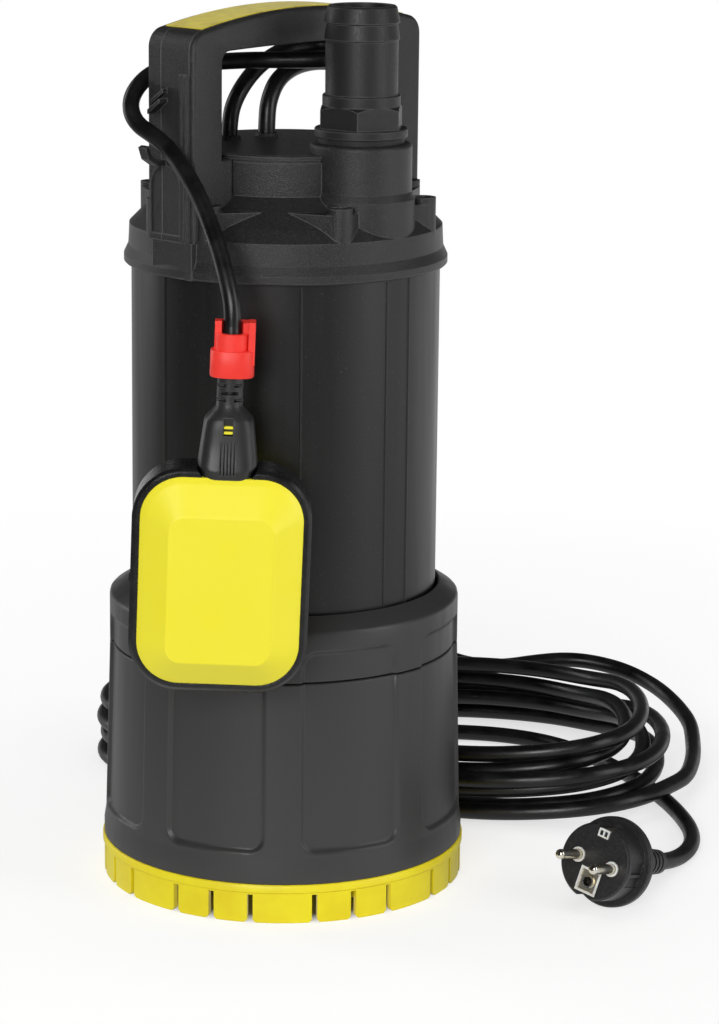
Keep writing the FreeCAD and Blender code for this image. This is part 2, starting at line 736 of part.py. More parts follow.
# Motor
def motor_flange():
    """Lower end shield: water ports round the rim, the seal seat and the lower bearing."""
    rim = JACKET_R - JACKET_WALL
    foot = CASING_TOP_Z
    plate = disc(rim, foot, MOTOR_FOOT_Z)
    hub = disc(BEARING_R + BEARING_HOUSING, MOTOR_FOOT_Z - 1, LOWER_BEARING_Z + BEARING_H)
    spigot = ring(MOTOR_CAN_R - MOTOR_CAN_WALL, MOTOR_CAN_R - 5, MOTOR_FOOT_Z - 1, MOTOR_FOOT_Z + 6)
    body = joined([plate, hub, spigot])
    port = ring(rim - 2, MOTOR_CAN_R + 1.5, foot - 1, MOTOR_FOOT_Z + 1)
    sector = wedge(0.0, WATER_PORT_DEG, foot - 1, MOTOR_FOOT_Z + 1)
    ports = around(port.common(sector), [k * 360.0 / WATER_PORTS for k in range(WATER_PORTS)])
    cuts = ports + [disc(BEARING_R, LOWER_BEARING_Z, LOWER_BEARING_Z + 2 * BEARING_H),
                    disc(SHAFT_R + 1.0, foot - 1, LOWER_BEARING_Z + 1),
                    disc(SEAL_SEAT_R, foot - 1, SEAL_Z + SEAL_SEAT_H)]
    return body.cut(cuts)


def motor_can():
    return ring(MOTOR_CAN_R, MOTOR_CAN_R - MOTOR_CAN_WALL, MOTOR_FOOT_Z, MOTOR_TOP_Z)


def motor_top_cap():
    inner = MOTOR_CAN_R - MOTOR_CAN_WALL
    plate = disc(inner, UPPER_BEARING_Z + BEARING_H, MOTOR_TOP_Z)
    hub = disc(BEARING_R + BEARING_HOUSING, UPPER_BEARING_Z, UPPER_BEARING_Z + BEARING_H + 1)
    rim = ring(MOTOR_CAN_R + 1.0, inner - 0.5, MOTOR_TOP_Z, MOTOR_TOP_Z + 2)
    body = joined([plate, hub, rim])
    wire_hole = disc(LEADS_HOLE_R, UPPER_BEARING_Z, MOTOR_TOP_Z + 3, LEADS_X, LEADS_Y)
    return body.cut([disc(BEARING_R, UPPER_BEARING_Z - 1, UPPER_BEARING_Z + BEARING_H),
                     disc(SHAFT_R + 2, UPPER_BEARING_Z, UPPER_BEARING_Z + BEARING_H + 3),
                     wire_hole])


def stator_core():
    return ring(MOTOR_CAN_R - MOTOR_CAN_WALL, STATOR_BORE_R, STATOR_FOOT_Z,
                STATOR_FOOT_Z + STATOR_LENGTH)


def stator_windings():
    """Round-shouldered end turns above and below the core."""
    r_in = STATOR_BORE_R + WINDING_IN
    r_out = MOTOR_CAN_R - MOTOR_CAN_WALL - WINDING_OUT

    def crown(z, way):
        bend = z + way * WINDING_H * 0.6
        top = z + way * WINDING_H
        return turned([(r_in, z), (r_out, z), (r_out, bend), (r_out - 6, top), (r_in + 4, top),
                       (r_in, bend)])

    return Part.makeCompound([crown(STATOR_FOOT_Z, -1), crown(STATOR_FOOT_Z + STATOR_LENGTH, 1)])


def shaft():
    foot = impeller_foot(0) - NUT_H
    top = UPPER_BEARING_Z + BEARING_H + SHAFT_CHAMFER
    return turned([(0, foot), (SHAFT_R - SHAFT_CHAMFER, foot), (SHAFT_R, foot + SHAFT_CHAMFER),
                   (SHAFT_R, top - SHAFT_CHAMFER), (SHAFT_R - SHAFT_CHAMFER, top), (0, top)])


def rotor_core():
    r = STATOR_BORE_R - AIR_GAP
    z0, z1 = STATOR_FOOT_Z, STATOR_FOOT_Z + STATOR_LENGTH
    low, high = z0 - ROTOR_END, z1 + ROTOR_END
    return turned([(SHAFT_R, low), (r - 6, low), (r - 2, z0 - 2), (r - 2, z0), (r, z0),
                   (r, z1), (r - 2, z1), (r - 2, z1 + 2), (r - 6, high), (SHAFT_R, high)])


def bearing_outer(z):
    """Outer race with a rubber shield on each face."""
    race = ring(BEARING_R, BEARING_OUTER_R, z, z + BEARING_H)
    shield = ring(BEARING_OUTER_R + 0.5, BEARING_INNER_R + 0.3, z + 0.5, z + 1.5)
    return joined([race, shield, shifted(shield, V(0, 0, BEARING_H - 2.0))])


def bearing_inner(z):
    return ring(BEARING_INNER_R, SHAFT_R, z, z + BEARING_H)


def capacitor():
    c = polar(CHAMBER_OFFSET - 8, OUTLET_DEG + 180)
    z = MOTOR_TOP_Z
    body = disc(CAPACITOR_R, z, z + CAPACITOR_H, c.x, c.y)
    tabs = [block(c.x + s * 5 - 2, c.x + s * 5 + 2, c.y - 0.5, c.y + 0.5,
                  z + CAPACITOR_H - 0.5, z + CAPACITOR_H + CAPACITOR_TAB_H) for s in (-1, 1)]
    return joined([body] + tabs)


# Jacket and head
def body_jacket():
    """Outer tube; its thick upper rim takes the head screws."""
    r_in = JACKET_R - JACKET_WALL
    rim_foot = JACKET_TOP_Z - JACKET_RIM_H
    tube = turned([(r_in, JACKET_FOOT_Z), (JACKET_R, JACKET_FOOT_Z), (JACKET_R, JACKET_TOP_Z),
                   (jacket_mouth_r(), JACKET_TOP_Z), (jacket_mouth_r(), rim_foot),
                   (r_in, rim_foot - JACKET_RIM_H)])
    holes = [disc(SCREW_R, JACKET_TOP_Z - SCREW_BITE, JACKET_TOP_Z + 1, p.x, p.y)
             for p in head_screw_places()]
    line = block(JACKET_R - MOULD_LINE / 2, JACKET_R + 1, -MOULD_LINE / 2, MOULD_LINE / 2,
                 SKIRT_TOP_Z + 10, LIP_Z - 2)
    return tube.cut(holes + around(line, MOULD_LINE_DEG))


def jacket_mouth_r():
    return JACKET_R - JACKET_WALL - JACKET_RIM_W


def jacket_seal():
    """Flat ring between the jacket's upper rim and the head."""
    gasket = ring(JACKET_R, jacket_mouth_r(), JACKET_TOP_Z, JACKET_TOP_Z + SEAL_T)
    return gasket.cut([disc(SCREW_R, JACKET_TOP_Z - 1, JACKET_TOP_Z + SEAL_T + 1, p.x, p.y)
                       for p in head_screw_places()])


def head_screw_places():
    degs = [OUTLET_DEG + s * d for d in HEAD_SCREW_DEG for s in (-1, 1)]
    return [polar(HEAD_SCREW_R, d) for d in degs]


def head_outline():
    """Lip, band, shoulder, cone and deck wall, as one turned body."""
    return turned([(0, LIP_Z), (LIP_R - 0.8, LIP_Z), (LIP_R, LIP_Z + 0.8), (LIP_R, LIP_Z + LIP_H),
                   (BAND_R + 0.5, LIP_Z + LIP_H + 4.5), (BAND_R, BAND_TOP_Z),
                   (SHOULDER_R, SHOULDER_Z), (DECK_R, DECK_FOOT_Z), (DECK_R, DECK_Z - LID_T),
                   (0, DECK_Z - LID_T)])


def chamber_centre():
    return polar(CHAMBER_OFFSET, OUTLET_DEG + 180)


def head_body():
    """Solids that make up the head's outside, before it is hollowed."""
    foot = LIP_Z + LIP_DROP
    socket = disc(SOCKET_R, foot, SOCKET_Z, OUTLET_X, OUTLET_Y)
    top_edge = [e for e in socket.Edges if len(e.Vertexes) == 1 and
                abs(e.Vertexes[0].Point.z - SOCKET_Z) < 1e-6]
    flare = turned([(0, foot), (SOCKET_FLARE_R, foot), (SOCKET_FLARE_R, SOCKET_FLARE_Z),
                    (SOCKET_R, SOCKET_FLARE_Z + 3.5), (0, SOCKET_FLARE_Z + 3.5)])
    body = [head_outline(), socket.makeFillet(SOCKET_EDGE, top_edge),
            shifted(flare, V(OUTLET_X, OUTLET_Y, 0))]
    boss_foot = BAND_TOP_Z - 10
    crest_r = HEAD_SCREW_R + HEAD_BOSS_R
    for p in head_screw_places():
        body.append(disc(HEAD_BOSS_R, boss_foot, HEAD_BOSS_Z, p.x, p.y))
        at = math.degrees(math.atan2(p.y, p.x))
        wing = [polar(DECK_R - 4, at, boss_foot), polar(DECK_R + 7, at - WING_DEG, boss_foot),
                polar(crest_r - 1.6, at - 3.4, boss_foot), polar(crest_r - 1.2, at, boss_foot),
                polar(crest_r - 1.6, at + 3.4, boss_foot), polar(DECK_R + 7, at + WING_DEG, boss_foot)]
        body.append(prism(wing, V(0, 0, WING_Z - boss_foot)))
    return body + handle_pads()


def handle_pads():
    """Pads on the band, one under each foot of the handle."""
    pad = block(-HANDLE_L / 2 - PAD_PROUD, -SHOULDER_R + 4, -PAD_FRONT, PAD_BACK, LIP_Z,
                BAND_TOP_Z - PAD_DROP)
    return around(pad, [HANDLE_DEG, HANDLE_DEG + 180])


def head_cover():
    can_rim = MOTOR_CAN_R + 1.0
    can_seat = MOTOR_TOP_Z + 2
    spigot = ring(can_rim, MOTOR_CAN_R - 6, can_seat, LIP_Z + 8)
    whole = joined(head_body() + [spigot])
    c = chamber_centre()
    cuts = [ring(JACKET_R, can_rim, LIP_Z - 1, JACKET_TOP_Z),
            ring(JACKET_R, jacket_mouth_r(), JACKET_TOP_Z - 1, JACKET_TOP_Z + SEAL_T),
            ring(jacket_mouth_r(), can_rim, LIP_Z - 1, JACKET_TOP_Z + 6),
            disc(MOTOR_CAN_R - 6, MOTOR_TOP_Z, LIP_Z + 4),
            disc(CHAMBER_R, LIP_Z, DECK_Z, c.x, c.y),
            disc(THREAD_R, BAND_TOP_Z + 4, SOCKET_Z + 1, OUTLET_X, OUTLET_Y)]
    throat = ring(jacket_mouth_r(), MOTOR_CAN_R - 2, JACKET_TOP_Z, BAND_TOP_Z + 5)
    cuts.append(throat.common(wedge(OUTLET_DEG, 34.0, JACKET_TOP_Z, BAND_TOP_Z + 6)))
    for p in head_screw_places():
        cuts.append(disc(SCREW_R + 0.2, LIP_Z, HEAD_BOSS_Z + 1, p.x, p.y))
        cuts.append(disc(SCREW_HEAD_R + 0.4, HEAD_BOSS_Z - HEAD_SCREW_SINK, HEAD_BOSS_Z + 1, p.x, p.y))
    return whole.cut(cuts)


def head_screws():
    seat = HEAD_BOSS_Z - HEAD_SCREW_SINK
    return Part.makeCompound([screw(p.x, p.y, seat, JACKET_TOP_Z - SCREW_BITE)
                              for p in head_screw_places()])


def by_handle(along, behind, z):
    """Point given along and behind the handle."""
    return spun(Part.Vertex(V(along, behind, z)), HANDLE_DEG).Point


FLOAT_EXIT = by_handle(-12.0, 26.2, DECK_Z)
MAINS_EXIT = by_handle(10.6, 24.0, DECK_Z)


def deck_lid():
    """Round lid of the terminal chamber, cut away for the outlet socket."""
    lid = turned([(0, DECK_Z - LID_T), (DECK_R - 0.9, DECK_Z - LID_T), (DECK_R - 0.9, DECK_Z - 2.3),
                  (DECK_R + 0.2, DECK_Z - 2.3), (DECK_R + 0.2, DECK_Z - 0.8), (DECK_R - 0.6, DECK_Z),
                  (0, DECK_Z)])
    cuts = [disc(SOCKET_R, DECK_Z - 5, DECK_Z + 1, OUTLET_X, OUTLET_Y)]
    cuts += [disc(GLAND_R, DECK_Z - 5, DECK_Z + 1, e.x, e.y) for e in (FLOAT_EXIT, MAINS_EXIT)]
    return lid.cut(cuts)


def gland(at):
    foot = DECK_Z - GLAND_DEPTH
    plug = turned([(0, foot), (GLAND_R - 1, foot), (GLAND_R, foot + 2), (GLAND_R, DECK_Z),
                   (GLAND_R - 0.6, DECK_Z + GLAND_H), (0, DECK_Z + GLAND_H)])
    return shifted(plug, V(at.x, at.y, 0))


# Hose tail
def hose_tail():
    z_ring = SOCKET_Z + O_RING_H
    z_hex = z_ring + TAIL_COLLAR_H
    z_tail_ring = z_hex + HEX_H
    z_tail = z_tail_ring + TAIL_RING_H
    barb_low = TAIL_TOP_Z - 2 * BARB_PITCH
    foot = SOCKET_Z - THREAD_L
    body = turned([(0, foot), (THREAD_R - 1, foot), (THREAD_R, foot + 1),
                   (THREAD_R, z_ring), (TAIL_COLLAR_R - 0.5, z_ring), (TAIL_COLLAR_R, z_ring + 0.5),
                   (TAIL_COLLAR_R, z_hex - 0.5), (TAIL_COLLAR_R - 0.5, z_hex), (TAIL_RING_R, z_hex),
                   (TAIL_RING_R, z_tail - 0.6), (TAIL_RING_R - 0.6, z_tail),
                   (TAIL_R, z_tail), (TAIL_R, barb_low - 0.6), (BARB_R, barb_low),
                   (BARB_TIP_R + 0.3, TAIL_TOP_Z - BARB_PITCH - 0.6),
                   (BARB_R, TAIL_TOP_Z - BARB_PITCH), (BARB_TIP_R, TAIL_TOP_Z - 0.8),
                   (BARB_TIP_R - 0.8, TAIL_TOP_Z), (0, TAIL_TOP_Z)])
    corner = HEX_ACROSS_FLATS / math.sqrt(3)
    hexagon = prism([polar(corner, FRONT_DEG - HEX_TURN + 60 * k, z_hex) for k in range(6)],
                    V(0, 0, HEX_H))
    cone = turned([(0, z_hex), (corner + 2, z_hex), (corner + 2, z_hex + HEX_H - 3),
                   (corner - 2.4, z_hex + HEX_H), (0, z_hex + HEX_H)])
    body = joined([body, hexagon.common(cone)])
    body = body.cut(disc(TAIL_BORE_R, foot - 1, TAIL_TOP_Z + 1))
    return shifted(body, V(OUTLET_X, OUTLET_Y, 0))


def outlet_o_ring():
    return ring(O_RING_R, THREAD_R, SOCKET_Z, SOCKET_Z + O_RING_H, OUTLET_X, OUTLET_Y)


# Handle
def crown_radius():
    """Radius of the arched top, from its height at the middle and at the ends."""
    rise = HANDLE_CROWN_Z - HANDLE_SHOULDER_Z
    return ((HANDLE_L / 2) ** 2 + rise ** 2) / (2 * rise)


def handle_outline():
    """Closed wire of the whole handle seen from the front, in the U-Z plane."""
    half = HANDLE_L / 2
    radius = crown_radius()
    crown = V(0, 0, HANDLE_CROWN_Z - radius)
    r = HANDLE_CORNER
    reach = math.sqrt((radius - r) ** 2 - (half - r) ** 2)
    centre = crown + V(half - r, 0, reach)
    meet = crown + (centre - crown).normalize() * radius
    side = V(half, 0, centre.z)
    bisector = ((meet - centre) + (side - centre)).normalize()
    bend = centre + bisector * r

    def other(p):
        return V(-p.x, 0, p.z)

    edges = [Part.makeLine(V(-half, 0, HANDLE_FOOT_Z), other(side)),
             Part.Arc(other(side), other(bend), other(meet)).toShape(),
             Part.Arc(other(meet), V(0, 0, HANDLE_CROWN_Z), meet).toShape(),
             Part.Arc(meet, bend, side).toShape(),
             Part.makeLine(side, V(half, 0, HANDLE_FOOT_Z))]
    knee = DECK_Z - 2.5
    foot_in = DECK_R - 1.5
    inner = half - LEG_DEPTH
    w = WINDOW_CORNER
    k = w * (1 - math.sqrt(0.5))
    path = [V(half, 0, HANDLE_FOOT_Z), V(foot_in, 0, HANDLE_FOOT_Z), V(foot_in, 0, knee),
            V(inner, 0, knee), V(inner, 0, WINDOW_TOP_Z - w)]
    edges += [Part.makeLine(a, b) for a, b in zip(path, path[1:])]
    edges += [Part.Arc(V(inner, 0, WINDOW_TOP_Z - w), V(inner - k, 0, WINDOW_TOP_Z - k),
                       V(inner - w, 0, WINDOW_TOP_Z)).toShape(),
              Part.Arc(V(inner - w, 0, WINDOW_TOP_Z), V(0, 0, WINDOW_TOP_Z + WINDOW_ARCH),
                       V(-inner + w, 0, WINDOW_TOP_Z)).toShape(),
              Part.Arc(V(-inner + w, 0, WINDOW_TOP_Z), V(-inner + k, 0, WINDOW_TOP_Z - k),
                       V(-inner, 0, WINDOW_TOP_Z - w)).toShape()]
    path = [V(-inner, 0, WINDOW_TOP_Z - w), V(-inner, 0, knee), V(-foot_in, 0, knee),
            V(-foot_in, 0, HANDLE_FOOT_Z), V(-half, 0, HANDLE_FOOT_Z)]
    edges += [Part.makeLine(a, b) for a, b in zip(path, path[1:])]
    return Part.Wire(edges)


def handle_slice(w0, w1):
    """Slice of the handle between two places across it, front being negative."""
    wire = handle_outline()
    wire.translate(V(0, w0, 0))
    return Part.Face(wire).extrude(V(0, w1 - w0, 0))


def head_clearance():
    """What the handle's feet stand round: the head, and room for a driver over its screws."""
    lid = disc(DECK_R + 0.2, DECK_Z - LID_T, DECK_Z)
    drivers = [disc(HEAD_BOSS_R + 0.8, LIP_Z, HEAD_BOSS_Z + DRIVER_ROOM, p.x, p.y)
               for p in head_screw_places()]
    return head_body() + [lid] + drivers


def oval_cutter():
    """Shallow arched recess low on each end of the handle."""
    half = OVAL_W / 2
    x = -HANDLE_L / 2 - 1
    low, top = HANDLE_FOOT_Z + 3, OVAL_TOP_Z - half
    left, right = OVAL_BACK - half, OVAL_BACK + half
    corners = [V(x, left, low), V(x, left, top), V(x, right, top), V(x, right, low)]
    wire = Part.Wire([Part.makeLine(corners[0], corners[1]),
                      Part.Arc(corners[1], V(x, OVAL_BACK, OVAL_TOP_Z), corners[2]).toShape(),
                      Part.makeLine(corners[2], corners[3]),
                      Part.makeLine(corners[3], corners[0])])
    return Part.Face(wire).extrude(V(1 + OVAL_DEPTH, 0, 0))


def outer_edges(shape, w):
    """Edges of the slice's face at place w that lie on the outer profile."""
    picked = []
    half = HANDLE_L / 2
    for edge in shape.Edges:
        box = edge.BoundBox
        if box.YLength > 1e-6 or abs(box.YMin - w) > 1e-6:
            continue
        on_end = box.XLength < 1e-6 and abs(abs(box.XMin) - half) < 1e-6
        above = box.ZMin > HANDLE_SHOULDER_Z - 2 * HANDLE_CORNER and box.ZMax > WINDOW_TOP_Z + 4
        if on_end or above:
            picked.append(edge)
    return picked


def cable_guide():
    """Saddle ribs above the float cord and a hook below it, on the left end."""
    x = -HANDLE_L / 2 + 0.5
    low = DECK_Z + GUIDE_RISE
    parts = []
    for lift in (0.0, GUIDE_PITCH):
        run = [V(x, GUIDE_BACK, low - GUIDE_CLIMB + lift), V(x, GUIDE_FRONT, low + lift),
               V(x, GUIDE_FRONT, low + GUIDE_T + lift), V(x, GUIDE_BACK, low - GUIDE_CLIMB + GUIDE_T + lift)]
        parts.append(prism(run, V(-GUIDE_OUT + lift / 2, 0, 0)))
    foot = DECK_Z - HOOK_DROP
    side = [(0.0, 0.0), (5.5, 0.0), (11.0, 3.5), (13.0, 9.0), (10.8, 9.8), (9.1, 5.2), (4.7, HOOK_T),
            (0.0, HOOK_T)]
    hook = prism([V(x - out, HOOK_FRONT, foot + up) for out, up in side], V(0, HOOK_W, 0))
    return parts + [hook]


def handle_core():
    w0 = -HANDLE_W / 2 + FRONT_SHELL_T
    w1 = HANDLE_W / 2 - REAR_SHELL_T
    body = handle_slice(w0, w1)
    x = -HANDLE_L / 2
    beads = [Part.makeCylinder(BEAD_R, HANDLE_SHOULDER_Z - 2 * HANDLE_CORNER - HANDLE_FOOT_Z,
                               V(side * x * -1, w, HANDLE_FOOT_Z), UP)
             for side in (-1, 1) for w in (w0 + 2.2, w0 + 5.0)]
    body = joined([body] + beads + cable_guide())
    cuts = [oval_cutter(), spun(oval_cutter(), 180), grip_strip()]
    return placed_handle(body.cut(cuts))


def grip_strip():
    """Arched strip along the crown that the soft grip insert fills."""
    half = INSERT_L / 2
    radius = crown_radius()
    drop = radius - math.sqrt(radius ** 2 - half ** 2)
    w = -INSERT_W / 2
    top = HANDLE_CROWN_Z + INSERT_PROUD
    a, b, c = V(-half, w, top - drop), V(0, w, top), V(half, w, top - drop)
    down = V(0, 0, -INSERT_T - INSERT_PROUD)
    wire = Part.Wire([Part.Arc(a, b, c).toShape(), Part.makeLine(c, c + down),
                      Part.Arc(c + down, b + down, a + down).toShape(), Part.makeLine(a + down, a)])
    return Part.Face(wire).extrude(V(0, INSERT_W, 0))


def placed_handle(shape):
    """Turn a handle piece to its place and cut its feet to the head."""
    return spun(shape, HANDLE_DEG).cut(head_clearance())


def handle_front_shell():
    w0 = -HANDLE_W / 2
    body = handle_slice(w0, w0 + FRONT_SHELL_T)
    body = body.makeChamfer(HANDLE_EDGE, outer_edges(body, w0))
    return placed_handle(body.cut([grip_strip()]))


def handle_rear_shell():
    w1 = HANDLE_W / 2
    body = handle_slice(w1 - REAR_SHELL_T, w1)
    body = body.makeChamfer(HANDLE_EDGE, outer_edges(body, w1))
    body = body.cut([oval_cutter(), spun(oval_cutter(), 180), grip_strip()] + cable_guide())
    return placed_handle(body)


def grip_insert():
    return spun(grip_strip(), HANDLE_DEG)


def handle_screw_places():
    u = HANDLE_L / 2 - LEG_DEPTH / 2
    return [(s * u, DECK_Z + rise) for s in (-1, 1) for rise in HANDLE_SCREW_RISE]


def handle_screw_l():
    """Shank long enough to end inside the front shell."""
    return HANDLE_W - HANDLE_SCREW_SINK - 1.2


def handle_screws():
    """Screws driven from behind through the rear shell and the core."""
    screws = []
    w = HANDLE_W / 2 - HANDLE_SCREW_SINK
    for u, z in handle_screw_places():
        head = Part.makeCylinder(SCREW_HEAD_R, SCREW_HEAD_H, V(u, w, z), V(0, 1, 0))
        shank = Part.makeCylinder(SCREW_R, handle_screw_l(), V(u, w, z), V(0, -1, 0))
        screws.append(spun(head.fuse(shank).removeSplitter(), HANDLE_DEG))
    return Part.makeCompound(screws)


def handle_screw_cuts():
    cuts = []
    w = HANDLE_W / 2 - HANDLE_SCREW_SINK
    for u, z in handle_screw_places():
        cuts.append(Part.makeCylinder(SCREW_HEAD_R + 0.3, 2 * HANDLE_SCREW_SINK, V(u, w, z), V(0, 1, 0)))
        cuts.append(Part.makeCylinder(SCREW_R, handle_screw_l(), V(u, w, z), V(0, -1, 0)))
    return [spun(c, HANDLE_DEG) for c in cuts]


# Float switch, modelled upright about its own centre
def placed_float(shape):
    neck = V(0, 0, PIVOT_UP)
    copy = shape.copy()
    copy.rotate(neck, V(0, 1, 0), FLOAT_LEAN)
    copy.translate(FLOAT_CENTRE + V(FLOAT_SWAY, 0, 0))
    return copy


def rounded_wire(w, h, corner, y, z_mid=0.0):
    """Rounded rectangle in the X-Z plane at depth y."""
    x, z = w / 2, h / 2
    k = corner * (1 - math.sqrt(0.5))
    edges = []
    for sx, sz, turn in ((1, 1, 0), (-1, 1, 1), (-1, -1, 2), (1, -1, 3)):
        if turn % 2 == 0:
            a, b = V(sx * x, y, z_mid + sz * (z - corner)), V(sx * (x - corner), y, z_mid + sz * z)
        else:
            a, b = V(sx * (x - corner), y, z_mid + sz * z), V(sx * x, y, z_mid + sz * (z - corner))
        m = V(sx * (x - k), y, z_mid + sz * (z - k))
        edges.append((a, m, b))
    wire = []
    for i, (a, m, b) in enumerate(edges):
        wire.append(Part.Arc(a, m, b).toShape())
        wire.append(Part.makeLine(b, edges[(i + 1) % 4][0]))
    return Part.Wire(wire)


def rounded_block(w, h, corner, y0, y1):
    return Part.Face(rounded_wire(w, h, corner, y0)).extrude(V(0, y1 - y0, 0))


def dome(shrink):
    """Front half of the float's buoyant body, shrunk by a wall thickness."""
    half = FLOAT_FRAME_T / 2
    w = FLOAT_W - 2 * FLOAT_RIM
    h = FLOAT_H - 2 * FLOAT_RIM
    r = FLOAT_CORNER - FLOAT_RIM
    base = rounded_block(w - 2 * shrink, h - 2 * shrink, r - shrink, 0, -half)
    top_y = -half - FLOAT_DOME + shrink
    inner_w = w - FLOAT_SHOULDER_IN - 2 * shrink
    inner_h = h - FLOAT_SHOULDER_IN - 2 * shrink
    loft = Part.makeLoft([rounded_wire(w - 2 * shrink, h - 2 * shrink, r - shrink, -half),
                          rounded_wire(inner_w, inner_h, r - 2 - shrink, -half - FLOAT_SHOULDER),
                          rounded_wire(FLOAT_PLATEAU_W - shrink, FLOAT_PLATEAU_H - shrink,
                                       FLOAT_PLATEAU_CORNER, top_y, FLOAT_PLATEAU_SHIFT)], True, True)
    return joined([base, loft])


def float_front_shell():
    return placed_float(dome(0.0).cut([dome(FLOAT_WALL)]))


def float_rear_shell():
    shell = dome(0.0).cut([dome(FLOAT_WALL)])
    return placed_float(shell.mirror(V(0, 0, 0), V(0, 1, 0)))


def neck_solid():
    w0, w1 = NECK_W / 2, NECK_TOP_W / 2
    foot = FLOAT_H / 2 - FLOAT_RIM
    front = [V(-w0 + 2.6, 0, foot), V(w0 - 2.6, 0, foot), V(w0, 0, FLOAT_H / 2), V(w0, 0, FLOAT_H / 2 + 1.5),
             V(w1, 0, NECK_SHOULDER), V(SLEEVE_R, 0, NECK_TOP), V(-SLEEVE_R, 0, NECK_TOP),
             V(-w1, 0, NECK_SHOULDER), V(-w0, 0, FLOAT_H / 2 + 1.5), V(-w0, 0, FLOAT_H / 2)]
    t0, t1 = FLOAT_FRAME_T / 2 + 1.0, NECK_T / 2
    side = [V(0, -t0, foot), V(0, t0, foot), V(0, t0, FLOAT_H / 2 + 2), V(0, t1, NECK_SHOULDER - 6),
            V(0, t1, NECK_SHOULDER), V(0, SLEEVE_R, NECK_TOP), V(0, -SLEEVE_R, NECK_TOP),
            V(0, -t1, NECK_SHOULDER), V(0, -t1, NECK_SHOULDER - 6), V(0, -t0, FLOAT_H / 2 + 2)]
    across = prism([p + V(0, -NECK_W, 0) for p in front], V(0, 2 * NECK_W, 0))
    along = prism([p + V(-NECK_W, 0, 0) for p in side], V(2 * NECK_W, 0, 0))
    return shifted(across.common(along), V(NECK_SHIFT, 0, 0))


def float_neck():
    """Moulded neck with its ribbed, slotted sleeve round the cord."""
    core_top = PIVOT_UP - FLOAT_CORD_D / 2 - JOINT_GAP
    body = joined([neck_solid(), disc(SLEEVE_R, NECK_TOP - 1, SLEEVE_TOP, NECK_SHIFT),
                   disc(SLEEVE_CORE_R, SLEEVE_TOP - 0.5, core_top, NECK_SHIFT)])
    cuts = []
    for row in range(3):
        z = SLEEVE_TOP - SLEEVE_SLOT_DROP - row * SLEEVE_SLOT_PITCH
        spans = [(-3.6, 3.6)] if row % 2 else [(-8.0, -1.6), (1.6, 8.0)]
        for x0, x1 in spans:
            slot = block(x0, x1, SLEEVE_R - SLEEVE_SLOT, SLEEVE_R + 1, z, z + SLEEVE_SLOT)
            cuts += [slot, spun(slot, 180)]
    for k in (-1.5, -0.5, 0.5, 1.5):
        x = k * NECK_GROOVE_PITCH
        cuts.append(block(x - NECK_GROOVE / 2, x + NECK_GROOVE / 2, -FLOAT_FRAME_T, -NECK_T / 2,
                          FLOAT_H / 2 - 3, NECK_SHOULDER - 5))
    low = NECK_SHOULDER - CATCH_DROP
    cuts.append(block(-CATCH_W / 2, CATCH_W / 2, -NECK_W, CATCH_DEPTH - NECK_T / 2, low, low + CATCH_H))
    return placed_float(body.cut([shifted(cut, V(NECK_SHIFT, 0, 0)) for cut in cuts]))


def neck_catches():
    """Two yellow ribs of the catch that shows through a window in the neck."""
    low = NECK_SHOULDER - CATCH_DROP
    half = CATCH_W / 2 - 0.2
    ribs = [block(NECK_SHIFT - half, NECK_SHIFT + half, -NECK_T / 2, CATCH_DEPTH - NECK_T / 2,
                  low + up, low + up + CATCH_RIB_H) for up in CATCH_RIBS]
    return placed_float(Part.makeCompound(ribs))


def float_frame():
    """Black rim that clamps the two shells, cut away for the neck."""
    half = FLOAT_FRAME_T / 2
    outer = rounded_block(FLOAT_W, FLOAT_H, FLOAT_CORNER, -half, half)
    rims = [e for e in outer.Edges if e.BoundBox.YLength < 1e-6]
    outer = outer.makeChamfer(FLOAT_RIM_EDGE, rims)
    inner = rounded_block(FLOAT_W - 2 * FLOAT_RIM, FLOAT_H - 2 * FLOAT_RIM,
                          FLOAT_CORNER - FLOAT_RIM, -half - 1, half + 1)
    return placed_float(outer.cut([inner, neck_solid()]))


def cable_clip():
    """Red clip: a band round the sleeve, two horns beside the cord and a tab down the right."""
    w, t = CLIP_W / 2, CLIP_T / 2
    band = block(CLIP_OFFSET - w, CLIP_OFFSET + w, -t, t, CLIP_FOOT, CLIP_STEP)
    band = band.makeFillet(3.5, [e for e in band.Edges if e.BoundBox.ZLength > 5])
    left, right = CLIP_HORN_OFFSET - CLIP_HORN_W / 2, CLIP_HORN_OFFSET + CLIP_HORN_W / 2
    horns = block(left, right, -t + 1.3, t - 1.0, CLIP_STEP - 1, CLIP_HEAD)
    horns = horns.makeFillet(1.6, [e for e in horns.Edges if e.BoundBox.ZLength > 5])
    tab = block(right - CLIP_TAB_W, right + 0.4, -t + 2.6, t - 2.0, CLIP_STEP - CLIP_TAB_H, CLIP_HEAD - 0.8)
    body = joined([band, horns, tab])
    slot = FLOAT_CORD_D / 2 + 0.8
    cuts = [disc(SLEEVE_CORE_R, CLIP_FOOT - 1, CLIP_NOTCH + 1),
            disc(slot + 0.5, CLIP_NOTCH, CLIP_HEAD + 1),
            block(-slot, slot, -t - 2, 0, CLIP_NOTCH, CLIP_HEAD + 1)]
    return placed_float(shifted(body.cut(cuts), V(NECK_SHIFT, 0, 0)))


def shell_depth():
    """From the float's middle to the inside of its rear shell."""
    return FLOAT_FRAME_T / 2 + FLOAT_DOME - FLOAT_WALL


